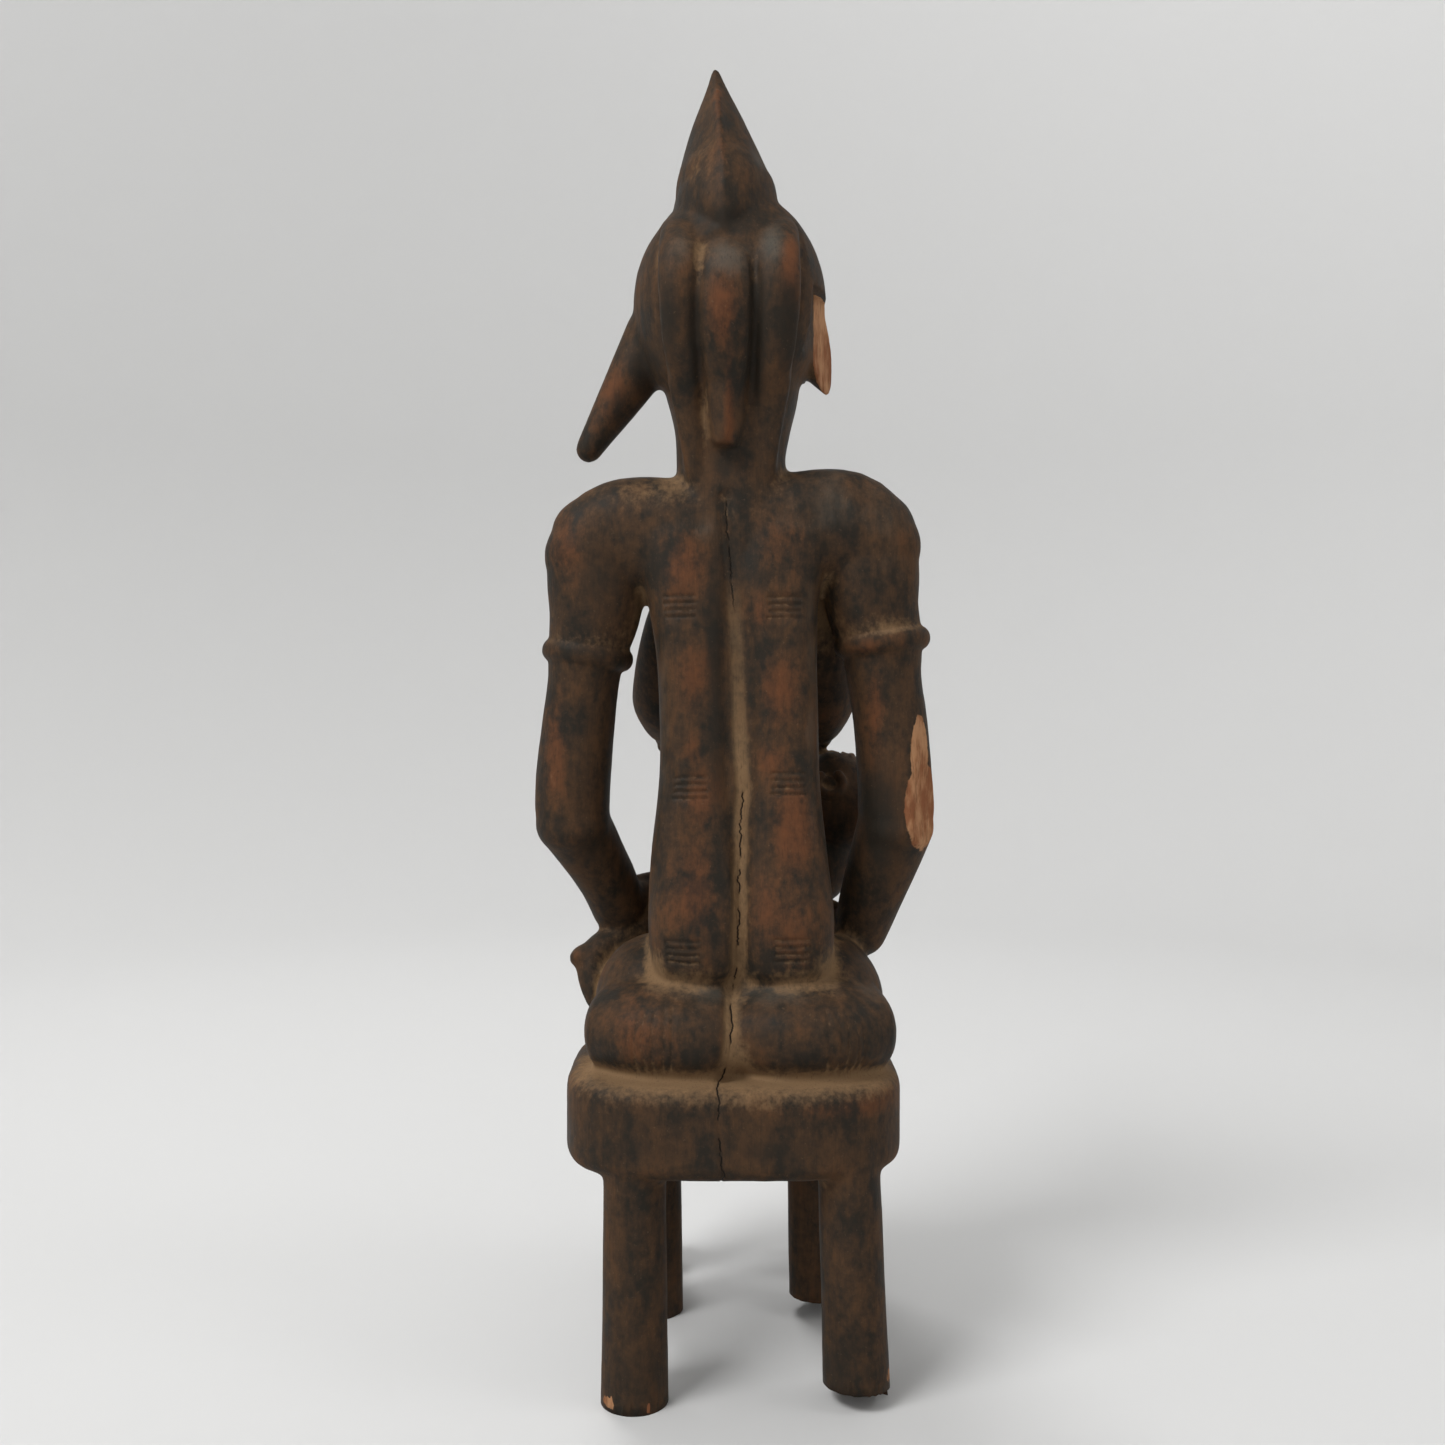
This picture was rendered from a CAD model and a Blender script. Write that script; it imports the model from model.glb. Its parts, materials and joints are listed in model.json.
"""Looks of a carved wooden maternity figure: a mother on a four-legged stool
with a child across the lap, cut from one block of wood.

The forms are roughed out as closed sweeps and lumps and joined on a grid. They
are hollowed, given their small features, cut along strokes with Geometry Nodes,
broken with rough cutters, and finished with a patina of worn, dusty wood. The
figure faces -Y and its left side is at +X. Places on the carving are x, y, z in
shares of its height, z from the seat's top, as the model has them.
"""

import json
import math

import bmesh
import bpy
import numpy as np
from bpy.props import FloatProperty, FloatVectorProperty, IntProperty, PointerProperty
from bpy.types import Operator, Panel, PropertyGroup
from mathutils import Matrix, Vector, noise
from mathutils.bvhtree import BVHTree

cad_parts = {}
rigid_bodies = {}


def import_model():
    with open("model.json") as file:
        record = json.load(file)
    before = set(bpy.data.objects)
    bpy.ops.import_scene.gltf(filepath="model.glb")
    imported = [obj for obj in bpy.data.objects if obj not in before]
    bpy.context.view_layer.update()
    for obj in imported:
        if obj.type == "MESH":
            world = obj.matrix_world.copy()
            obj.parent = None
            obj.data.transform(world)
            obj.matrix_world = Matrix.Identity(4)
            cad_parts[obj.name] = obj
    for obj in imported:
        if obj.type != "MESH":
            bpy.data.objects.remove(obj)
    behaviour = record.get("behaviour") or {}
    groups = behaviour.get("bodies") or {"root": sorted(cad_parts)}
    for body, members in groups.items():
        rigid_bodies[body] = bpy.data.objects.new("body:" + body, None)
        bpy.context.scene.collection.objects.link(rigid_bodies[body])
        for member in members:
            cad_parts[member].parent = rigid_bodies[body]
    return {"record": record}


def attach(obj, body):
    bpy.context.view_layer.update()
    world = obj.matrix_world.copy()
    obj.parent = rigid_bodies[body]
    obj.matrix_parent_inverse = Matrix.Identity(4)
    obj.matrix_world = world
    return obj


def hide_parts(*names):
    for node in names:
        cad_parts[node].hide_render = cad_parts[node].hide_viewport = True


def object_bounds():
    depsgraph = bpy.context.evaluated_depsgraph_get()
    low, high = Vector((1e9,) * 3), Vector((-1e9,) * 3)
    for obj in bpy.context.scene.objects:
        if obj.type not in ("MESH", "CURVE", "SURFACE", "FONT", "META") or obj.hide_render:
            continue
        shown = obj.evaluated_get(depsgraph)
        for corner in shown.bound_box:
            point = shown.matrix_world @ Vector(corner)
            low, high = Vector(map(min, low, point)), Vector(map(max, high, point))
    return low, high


bl_info = {
    "name": "Maternity Figure",
    "version": (1, 0, 0),
    "blender": (4, 5, 0),
    "location": "View3D > Sidebar > Figure",
    "description": "A carved mother and child on a four-legged stool",
    "category": "Add Mesh",
}

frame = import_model()
CAD_LOW, CAD_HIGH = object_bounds()

NODE = "maternity_figure"
PIECE = "maternity_figure_carved"

# The stool's sizes, in metres, as the model has them
SEAT_WIDTH = 0.1285
SEAT_DEPTH = 0.110
SEAT_THICKNESS = 0.034
SEAT_RIM_ROUND = 0.006
SEAT_LOWER_CHAMFER = 0.005
SEAT_SQUARENESS = 3.6
LEG_HEIGHT = 0.084
LEG_RADIUS = 0.012
LEG_FLARE = 0.001
LEG_INSET_SIDE = 0.0278
LEG_INSET_END = 0.0155
FOOT_WEAR = 0.007
SEAT_TOP = LEG_HEIGHT + SEAT_THICKNESS

# Each leg: side, end (1 is the back), how far it stands off square, its splay
LEGS = {
    "back_left": (1, 1, 0.0000, 0.0000),
    "back_right": (-1, 1, 0.0062, 0.0028),
    "front_left": (1, -1, -0.0030, 0.0000),
    "front_right": (-1, -1, -0.0017, 0.0021),
}

# The crest's tip in shares, and the seat's middle, found from the back left foot
CREST_TIP = 391
SHARE = (CAD_HIGH.z - SEAT_TOP) / CREST_TIP
FEET = {mount["name"]: Vector(mount["pos_m"]) for mount in frame["record"]["mounts"]}
MIDDLE = FEET["foot_back_left"] - Vector((SEAT_WIDTH / 2 - LEG_INSET_SIDE,
                                          SEAT_DEPTH / 2 - LEG_INSET_END, 0))

# The crack down the spine and over the seat's edge: x and z in shares
CRACK = [(2.9, 218), (2.4, 207), (1.2, 196), (0.4, 184), (-1.4, 157), (-2.6, 124), (-3.9, 105),
         (-2.6, 95), (-2.9, 84), (-2.0, 73), (-2.2, 64), (-1.6, 50), (-1.4, 39), (0.6, 31),
         (0.9, 18), (2.0, 9), (3.6, 2.5), (6.4, -0.5), (5.0, -4), (5.7, -11), (5.1, -18),
         (4.6, -26), (3.7, -30), (4.8, -35)]
CRACK_TOP = 218
CRACK_FOOT = -36
CRACK_COLOUR = (0.010, 0.008, 0.006)

# How glossy the wood is, and the redder streaks in its bare places
WOOD_SPECULAR = 0.09
RAW_STREAK = (0.200, 0.078, 0.036)

# How far rays look for nearby walls, in metres, and how many look from each place
HOLLOW_REACH = 0.016
HOLLOW_RAYS = 16

# The size of the facets on a torn face, in metres
TORN_STEP = 0.0011

# The camera behind the figure: its lens in millimetres, and its place from the seat's middle
CAMERA_LENS = 34.06
CAMERA_ASIDE = 0.0041
CAMERA_AWAY = 0.544
CAMERA_HEIGHT = 0.250

# Where years of handling show on the back: x, z, half width, half height, strength, in shares
RUBBED = [(65, 199, 5, 12, .6), (19, 192, 7, 10, .9), (15, 148, 4.5, 10, .8), (15, 121, 4, 5, .7),
          (12, 103, 5, 10, .8), (-9, 173, 4, 5, .7), (-17, 144, 6, 10, 1.0), (-14.5, 118, 6, 5, .8),
          (-22.5, 91, 6, 14, 1.1), (-16, 200, 12, 12, .5), (70, 125, 4, 16, .8), (71, 110, 2.2, 2.2, 1.1),
          (-55.6, 137, 2.5, 13, .9), (4, 284, 4, 9, 1.2), (1.5, 254, 1.5, 15, .9),
          (14, 70, 6, 14, .9), (-20, 55, 8, 14, .6), (-40, -8, 14, 3, .7), (34, 18, 8, 9, .6),
          (-20.5, 303, 2.4, 8, 1.1), (6, 370, 1.7, 10, .6), (4.5, 350, 1.9, 13, .3),
          (50, 264, 8, 12, .6), (56, 250, 4, 8, .5), (20, 70, 6, 12, .5), (-12, 62, 5, 12, .6),
          (28, 15, 9, 5, .4), (-52, 160, 5, 3, .6)]
DUSTED = [(33, 220, 19, 6, .6), (13, 305, 5, 11, .4), (14, 343, 6, 13, .4), (71, 110, 1.5, 1.5, .8),
          (57, 108, 4, 5, .5), (56, 165, 12, 4, .7), (-58, 170, 12, 4, .7), (42, -12, 8, 7, .6),
          (0, 214, 12, 5, .5), (60, 180, 8, 10, .4), (58, 214, 10, 6, .4), (0, -2, 70, 4.5, .75),
          (15, 38, 14, 4, .5), (-20, 38, 15, 4, .5), (-40, -10, 12, 8, .3), (0, 8, 6, 8, .8),
          (29, 41, 4, 6, .9), (-35, 42, 4, 6, .9), (-1, 2, 12, 3, .9)]
GREYED = [(-29.5, 130, 2.4, 52, .8), (26.5, 130, 2.2, 52, .6), (-40, 211, 22, 10, .9),
          (-57, 188, 10, 16, .5), (3.6, 302, 7, 6, .9), (20, 309, 4, 8, .8), (-15, 311, 4, 7, .8),
          (-9.5, 350, 3, 13, .7), (8, 33, 8, 4, .7), (-13, 33, 8, 4, .7), (60, 140, 6, 12, .4),
          (12, 205, 6, 4, .6), (4.5, 330, 2.5, 8, .5), (-8, 250, 4, 15, .5), (12, 250, 3, 14, .4)]
DARKENED = [(50, 189, 8, 12, .7), (6.5, 145, 3.2, 50, .8), (-57, 90, 8, 20, .9), (24, 284, 3.5, 12, .9),
            (-21, 279, 4, 14, .9), (2.8, 321, 12, 5, .9), (53, 245, 3, 9, .5), (-38, 150, 4, 30, .5),
            (40, 60, 8, 14, .5), (3, 232, 5, 6, .8), (58, 128, 4, 20, .5), (0, -22, 60, 4, .6),
            (14.5, 276, 3.0, 18, 1.0), (-8.5, 272, 3.0, 20, 1.0),
          (8, 20, 4, 10, .7), (-11, 20, 4, 10, .7), (52, 75, 8, 14, .8), (-50, 70, 8, 14, .8),
          (30, -105, 16, 14, .5), (-34, -105, 16, 14, .5), (36, 270, 5, 8, .9),
          (45, 254, 3.5, 9, .8), (51, 244, 3, 6, .7), (-60, 145, 8, 8, .5), (0, -13, 60, 3, .4)]


class CarvingSettings(PropertyGroup):
    """Sizes of the carver's work."""

    rough_grid: FloatProperty(
        name="Rough grid", description="Grid on which the rough forms are joined",
        default=0.0012, min=0.0006, max=0.004, unit="LENGTH")
    fine_grid: FloatProperty(
        name="Fine grid", description="Grid on which the small features are joined",
        default=0.0007, min=0.0004, max=0.003, unit="LENGTH")
    triangles: IntProperty(
        name="Triangles", description="Triangles of the finished surface",
        default=192000, min=20000, max=199000)
    scar_count: IntProperty(
        name="Scar cuts", description="Cuts in each row of scars on the back", default=4, min=1, max=9)
    scar_spacing: FloatProperty(
        name="Scar spacing", description="From one cut of a row to the next",
        default=0.00265, unit="LENGTH")
    scar_length: FloatProperty(
        name="Scar length", description="Length of each cut on the back", default=0.0120, unit="LENGTH")
    scar_depth: FloatProperty(
        name="Scar depth", description="Depth of each cut on the back", default=0.0007, unit="LENGTH")
    spine_width: FloatProperty(
        name="Spine width", description="Half the width of the groove down the spine",
        default=0.0040, unit="LENGTH")
    spine_depth: FloatProperty(
        name="Spine depth", description="Extra depth of the groove down the spine",
        default=0.0012, unit="LENGTH")
    unevenness: FloatProperty(
        name="Unevenness", description="How far the knife work wanders from a true surface",
        default=0.00035, unit="LENGTH")


class PatinaSettings(PropertyGroup):
    """Colours of the old, handled wood."""

    dark: FloatVectorProperty(
        name="Dark", description="Dark brown of the smoke-blackened wood", subtype="COLOR", size=3,
        default=(0.020, 0.0165, 0.0125), min=0, max=1)
    brown: FloatVectorProperty(
        name="Brown", description="Middle brown of the wood", subtype="COLOR", size=3,
        default=(0.068, 0.036, 0.018), min=0, max=1)
    red: FloatVectorProperty(
        name="Red", description="Red brown where handling has worn through", subtype="COLOR", size=3,
        default=(0.120, 0.045, 0.019), min=0, max=1)
    sheen: FloatVectorProperty(
        name="Sheen", description="Grey bloom on surfaces that face up", subtype="COLOR", size=3,
        default=(0.076, 0.071, 0.059), min=0, max=1)
    dust: FloatVectorProperty(
        name="Dust", description="Dry tan dust lodged in hollows", subtype="COLOR", size=3,
        default=(0.195, 0.120, 0.062), min=0, max=1)
    raw: FloatVectorProperty(
        name="Raw wood", description="Pale wood bared by a break", subtype="COLOR", size=3,
        default=(0.360, 0.190, 0.095), min=0, max=1)


class StageSettings(PropertyGroup):
    """The pale floor and the soft light."""

    floor: FloatVectorProperty(
        name="Floor", description="Colour of the floor", subtype="COLOR", size=3,
        default=(0.53, 0.53, 0.527), min=0, max=1)
    floor_radius: FloatProperty(
        name="Floor radius", description="Radius of the flat floor before it curves up",
        default=1.1, unit="LENGTH")
    key: FloatProperty(name="Key light", description="Power of the large soft light", default=76.0)
    fill: FloatProperty(name="Fill light", description="Power of the light from the front",
                        default=85.0)
    sky: FloatProperty(name="Sky", description="Strength of the even light all round", default=0.42)


# Places and sweeps

def at(x, y, z):
    """A place on the carving, from shares measured from the seat's top."""
    return Vector((MIDDLE.x + x * SHARE, MIDDLE.y + y * SHARE, SEAT_TOP + z * SHARE))


def smooth_stations(stations, steps):
    """Fill in stations along a Catmull-Rom curve: (place, across, deep)."""
    rows = [list(place) + [across, deep] for place, across, deep in stations]
    rows = [rows[0]] + rows + [rows[-1]]
    filled = []
    for i in range(1, len(rows) - 2):
        before, start, end, after = rows[i - 1:i + 3]
        for step in range(steps):
            t = step / steps
            filled.append([
                0.5 * (2 * b + (c - a) * t + (2 * a - 5 * b + 4 * c - d) * t ** 2
                       + (3 * b - a - 3 * c + d) * t ** 3)
                for a, b, c, d in zip(before, start, end, after)])
    filled.append(rows[-1])
    return [(Vector(row[:3]), row[3], row[4]) for row in filled]


def rounded_ends(stations, ends):
    """Add the shrinking rings that round off both ends of a sweep."""
    caps = []
    for index, neighbour, length in ((0, 1, ends[0]), (-1, -2, ends[1])):
        place, across, deep = stations[index]
        outward = (place - stations[neighbour][0]).normalized()
        reach = length * min(across, deep)
        cap = []
        for angle in (math.radians(turn) for turn in (18, 36, 52, 66, 78, 86)):
            shrink = math.cos(angle)
            cap.append((place + outward * reach * math.sin(angle), across * shrink, deep * shrink))
        caps.append(cap)
    return list(reversed(caps[0])) + stations + caps[1]


def sweep(bm, stations, side=(1, 0, 0), square=2.0, ends=(1.0, 1.0), steps=5, sides=40):
    """A closed limb: superellipse rings along a smooth path through the stations."""
    rings = rounded_ends(smooth_stations(stations, steps), ends)
    side = Vector(side)
    loops = []
    for i, (place, across, deep) in enumerate(rings):
        before = rings[max(i - 1, 0)][0]
        after = rings[min(i + 1, len(rings) - 1)][0]
        along = (after - before).normalized()
        first = (side - along * side.dot(along)).normalized()
        second = along.cross(first)
        loop = []
        for k in range(sides):
            angle = 2 * math.pi * k / sides
            c, s = math.cos(angle), math.sin(angle)
            bulge = (abs(c) ** square + abs(s) ** square) ** (-1 / square)
            loop.append(bm.verts.new(place + first * across * c * bulge + second * deep * s * bulge))
        loops.append(loop)
    for lower, upper in zip(loops, loops[1:]):
        for k in range(sides):
            n = (k + 1) % sides
            bm.faces.new((lower[k], lower[n], upper[n], upper[k]))
    bm.faces.new(list(reversed(loops[0])))
    bm.faces.new(loops[-1])


def limb(bm, rows, **settings):
    """A sweep whose rows are x, y, z, half width, half depth in shares."""
    stations = [(at(x, y, z), across * SHARE, deep * SHARE) for x, y, z, across, deep in rows]
    sweep(bm, stations, **settings)


def lump(bm, place, radii, turn=(0, 0, 0)):
    """An ellipsoid, its place and radii in shares, turned about X, Y, Z in degrees."""
    matrix = Matrix.Translation(at(*place))
    for axis, degrees in zip("XYZ", turn):
        matrix = matrix @ Matrix.Rotation(math.radians(degrees), 4, axis)
    matrix = matrix @ Matrix.Diagonal([radius * SHARE for radius in radii] + [1])
    bmesh.ops.create_uvsphere(bm, u_segments=40, v_segments=24, radius=1.0, matrix=matrix)


def new_object(name, bm, collection=None):
    """An object with its place in its mesh, from a bmesh, which is freed."""
    mesh = bpy.data.meshes.new(name)
    bm.normal_update()
    bmesh.ops.recalc_face_normals(bm, faces=bm.faces)
    bm.to_mesh(mesh)
    bm.free()
    made = bpy.data.objects.new(name, mesh)
    (collection or bpy.context.scene.collection).objects.link(made)
    return made


def working_collection(name):
    """A collection for forms that the finished piece swallows up."""
    if name not in bpy.data.collections:
        bpy.context.scene.collection.children.link(bpy.data.collections.new(name))
    return bpy.data.collections[name]


# Stool

def add_seat(bm):
    """A thick seat with a rounded upper rim and a worn lower edge."""
    half_width, half_depth = SEAT_WIDTH / 2, SEAT_DEPTH / 2
    chamfer, rim = SEAT_LOWER_CHAMFER, SEAT_RIM_ROUND
    profile = [(LEG_HEIGHT, chamfer), (LEG_HEIGHT + chamfer * 0.25, chamfer * 0.5),
               (LEG_HEIGHT + chamfer * 0.6, chamfer * 0.15), (LEG_HEIGHT + chamfer, 0.0)]
    for step in range(7):
        angle = math.radians(15 * step)
        profile.append((SEAT_TOP - rim + rim * math.sin(angle), rim * (1 - math.cos(angle))))
    stations = [(Vector((MIDDLE.x, MIDDLE.y, height)), half_width - inset, half_depth - inset)
                for height, inset in profile]
    sweep(bm, stations, square=SEAT_SQUARENESS, ends=(0.02, 0.02), steps=1, sides=128)


def leg_place(name, height):
    side, end, shift, splay = LEGS[name]
    x = SEAT_WIDTH / 2 - LEG_INSET_SIDE + shift + splay * (1 - height / LEG_HEIGHT)
    y = SEAT_DEPTH / 2 - LEG_INSET_END
    return Vector((MIDDLE.x + side * x, MIDDLE.y + end * y, height))


def add_leg(bm, name):
    """A round leg let into the seat, a little stouter at the foot."""
    stations = []
    for share in (-0.05, 0.35, 0.7, 1.15):
        radius = LEG_RADIUS + LEG_FLARE * (0.5 - share)
        stations.append((leg_place(name, share * LEG_HEIGHT), radius, radius))
    sweep(bm, stations, ends=(0.1, 0.1))


# Mother's body

def add_torso(bm):
    """Two tall columns side by side, with the spine's groove left between them."""
    for side in (1, -1):
        x = 16.4 * side
        limb(bm, [
            (x - 3.4, 12.5, 43, 18.6, 24), (x - 3.1, 12.2, 56, 19.6, 24.8),
            (x - 2.4, 9.5, 82, 17.6, 23), (x - 2.4, 7.5, 108, 15.0, 22),
            (x - 2.4, 6.5, 130, 14.6, 21.5), (x - 1.4, 6, 160, 15.2, 21.5),
            (x, 5.5, 183, 17.6, 21), (x * 1.15, 5, 204, 20, 19),
        ], square=2.9, ends=(0.9, 0.6))
    limb(bm, [
        (-2.6, 9, 40, 14, 21.5), (-2.4, 6, 90, 12, 21), (-2.2, 4.5, 130, 11, 20),
        (-1, 4.5, 170, 11, 19.5), (0, 4.5, 208, 12, 18),
    ], square=2.2)


def add_belly(bm):
    lump(bm, (-2.4, -9, 76), (25, 20, 30))


def add_buttocks(bm):
    for side, middle in ((1, -2.2), (-1, -3.0)):
        limb(bm, [
            (middle + 1 * side, 16.5, 13, 28, 16), (middle + 12 * side, 17, 14.5, 32.5, 19.5),
            (middle + 30 * side, 16, 15, 32.5, 20), (middle + 45 * side, 11, 14.5, 27, 18),
        ], side=(0, 1, 0), square=2.15, ends=(0.2, 0.6))
        lump(bm, (middle + 32.5 * side, -2, 21), (24.5, 29, 27))
    lump(bm, (-2, 6, 22), (30, 26, 24))


def add_thighs(bm):
    for side, x in ((1, 37), (-1, -39)):
        limb(bm, [
            (x - 6 * side, 2, 20, 20, 20), (x, -30, 17, 18, 17), (x, -58, 13, 16, 15.5),
            (x, -72, 9, 14.5, 14.5),
        ])


def shin_x(side):
    return 37.5 if side > 0 else -39


def add_shins(bm):
    """Lower legs in front of the stool's own, with heel and flat foot."""
    knee, ankle, sole = SEAT_TOP + 8 * SHARE, SEAT_TOP * 0.30, SEAT_TOP * 0.14

    def low(x, y, height):
        place = at(x, y, 0)
        place.z = height
        return place

    for side in (1, -1):
        x = shin_x(side)
        shin = [(-76, knee, 14, 13.5), (-77, knee * 0.75, 11.5, 12.5), (-76, knee * 0.50, 9.5, 10.5),
                (-75, ankle, 8.5, 9), (-75, sole, 9.5, 9.5)]
        sweep(bm, [(low(x, y, height), across * SHARE, deep * SHARE)
                   for y, height, across, deep in shin], ends=(1.0, 0.3))
        foot = [(-72, sole, 9.5, 8), (-84, sole - 0.5 * SHARE, 9.8, 7),
                (-97, sole - 2.5 * SHARE, 10.5, 4.6)]
        sweep(bm, [(low(x, y, height), across * SHARE, deep * SHARE)
                   for y, height, across, deep in foot], square=2.6, ends=(0.8, 0.9))


def add_shoulders(bm):
    """Broad rounded shoulders that flow into the upper arms."""
    limb(bm, [
        (57, 2, 196.5, 18.2, 17), (45, 3, 205.5, 22.0, 17), (24, 5, 206, 22.0, 17.5),
        (0, 6, 204, 20.2, 17), (-24, 5, 208.3, 22.0, 17.5), (-45, 3, 209, 22.2, 17.5),
        (-57, 2, 200.5, 18.2, 17),
    ], side=(0, 0, 1), square=2.2)


def add_arm(bm, side):
    """Upper arm, elbow and forearm of one side."""
    if side > 0:
        upper = [
            (54, 2, 206, 18, 16), (54.3, 2, 190, 19.4, 17), (54.8, 1, 175, 18.2, 16.5),
            (58, 0, 160, 15.6, 15), (59.5, -1, 148, 14.2, 14), (61.5, -2, 132, 14.6, 13.5),
            (63.6, -3, 112, 15.0, 14), (64.4, -4, 97, 15.0, 14.5)]
        elbow = (63.8, -4, 91.5)
        forearm = [
            (63.4, -5, 91, 14.4, 13.5), (57.2, -13, 79, 13.0, 13), (51, -21, 66, 11.8, 11.5),
            (47.2, -27, 54, 11.2, 10)]
    else:
        upper = [
            (-55, 2, 208, 17.5, 16), (-54.8, 2, 192, 19.2, 17), (-55.4, 1, 178, 18.4, 16.5),
            (-59, 0, 164, 16.4, 15), (-60.2, -1, 150, 15.0, 14), (-62.6, -2, 134, 14.8, 13.5),
            (-64.6, -3, 112, 15.0, 14), (-65.4, -4, 97, 15.4, 14.5)]
        elbow = (-65.4, -4, 90.5)
        forearm = [
            (-65, -5, 90, 15.4, 14), (-60.6, -10, 75, 14.2, 13.5), (-55.6, -15, 58, 12.4, 12),
            (-52.6, -18, 47, 11.0, 11)]
    limb(bm, upper)
    lump(bm, elbow, (15.2, 14.5, 13))
    limb(bm, forearm)


def add_palms(bm):
    limb(bm, [
        (46.5, -27, 55, 10.5, 9), (38, -34, 56, 10, 7), (29, -43, 56, 9.5, 5.0),
    ], side=(0.4, 0.4, 0.8), ends=(1.0, 0.4))
    limb(bm, [
        (-52.5, -18, 49, 11.5, 10.5), (-47, -29, 44, 10.5, 9), (-38, -44, 41.5, 9.5, 6),
    ], side=(0, 0.3, 1), ends=(1.0, 0.4))


def add_breasts(bm):
    for side, x in ((1, 27), (-1, -37)):
        limb(bm, [
            (x - 8 * side, -9, 188, 10, 9), (x - 4 * side, -20, 172, 13, 12),
            (x - 1 * side, -34, 152, 15.5, 14), (x, -44, 139, 15.5, 14),
            (x + 2 * side, -52, 129, 9, 8.5), (x + 3 * side, -55, 125, 4, 4),
        ])


# Child

def add_child(bm):
    """A child lying along the lap, its head at the mother's right breast."""
    lump(bm, (-44.5, -49.5, 99), (18.5, 19.5, 20.5), turn=(0, -12, 0))
    lump(bm, (-39.0, -57, 114), (6.5, 6.0, 6.5))
    limb(bm, [
        (-42, -49, 84, 12, 12), (-35, -49, 70, 17, 15.5), (-14, -49, 62, 16, 15),
        (6, -46, 55, 14.5, 14), (22, -40, 50, 14, 14), (30, -36, 46, 11, 12),
    ], side=(0, 0, 1))
    limb(bm, [
        (20, -38, 48, 11, 11), (36, -32, 46, 9, 9), (49.5, -25, 40.5, 8, 7.6), (57, -19, 34.5, 7, 7),
        (57, -14.5, 26, 6.0, 5.8), (55.6, -10.5, 19, 3.6, 4.0),
    ], side=(0, 1, 0))
    lump(bm, (61.4, -18, 36.4), (6.2, 5.5, 4.4), turn=(0, 25, 0))
    limb(bm, [
        (20, -48, 46, 10, 10), (38, -46, 40, 8.5, 8.5), (53, -42, 32, 7.5, 7.5), (58, -36, 22, 5, 5),
    ], side=(0, 1, 0))
    limb(bm, [
        (-33, -60, 76, 6.5, 6.5), (-20, -64, 68, 6.2, 6.2), (-6, -62.5, 64, 5.6, 5.6),
        (5, -58, 64, 5.2, 4.2),
    ], side=(0, 1, 0))


# Head

def add_neck(bm):
    """Neck and back of the head, one tapering column."""
    limb(bm, [
        (-0.5, 5, 206, 24, 18), (0.2, 4.5, 221, 22.4, 18), (0.8, 4, 234, 21.4, 19),
        (0.3, 3, 247, 22.9, 22), (0, 1, 259, 25.6, 27), (0.4, -1, 272, 28.0, 32),
        (0.6, -2, 284, 30, 36.5), (0.8, -2.5, 294, 31, 38.5),
    ], square=2.5)


def add_hair(bm):
    """A full cap of hair with long lobes running from the brow to the nape."""
    limb(bm, [
        (1.0, -6, 268, 29.5, 31), (1.2, -4, 276, 34, 35.5), (1.3, -3, 286, 37.2, 39),
        (1.2, -3, 298, 38.4, 39.5), (1.4, -3, 309, 37.2, 38), (1.6, -3, 318, 34.2, 34.5),
        (1.9, -3, 325, 30.4, 31), (2.3, -3, 331, 25.8, 27), (2.6, -3, 336, 21, 23),
    ], square=2.15, ends=(0.12, 0.3))
    for x, half, reach, top in ((20.4, 7.8, 37.8, 33.8), (-16.8, 8.4, 37.8, 33.8)):
        rows = [(x * 0.92, -37.5, 297, half * 0.6, 3.0)]
        for step in range(7):
            angle = math.radians(132 - 22 * step)
            rows.append((x, -3 + reach * math.cos(angle), 293 + top * math.sin(angle), half, 5.5))
        rows.append((x * 0.96, 30.0, 272, half * 0.92, 5.0))
        rows.append((x * 0.85, 22.8, 255, half * 0.8, 4.2))
        rows.append((x * 0.76, 20.2, 240, half * 0.66, 3.6))
        rows.append((x * 0.72, 18.6, 228, half * 0.5, 3.0))
        limb(bm, rows, ends=(0.8, 1.2))


def add_braid(bm):
    """The broad braid down the back of the head, with its step and its lip."""
    limb(bm, [
        (3.2, 24.5, 310.5, 8.6, 7), (3.0, 31, 303, 10.4, 8), (3.1, 33.4, 292, 10.9, 8),
        (3.2, 32.8, 282, 10.3, 8), (2.9, 30.2, 273, 9.4, 8), (2.8, 27.4, 264, 8.6, 7.6),
    ], square=2.4, ends=(0.9, 0.6))
    limb(bm, [
        (2.9, 27, 282, 9.0, 8), (2.7, 26.5, 268, 8.6, 8), (2.7, 25, 256, 7.8, 7.5),
        (2.7, 23.5, 246, 6.8, 7), (3.0, 22.5, 238.5, 5.6, 7),
    ], square=2.2, ends=(0.5, 0.3))
    limb(bm, [(2.6, 32, 276, 2.2, 3), (2.6, 31, 258, 2.2, 3), (2.9, 28.5, 240, 2.2, 2.6)])


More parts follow.
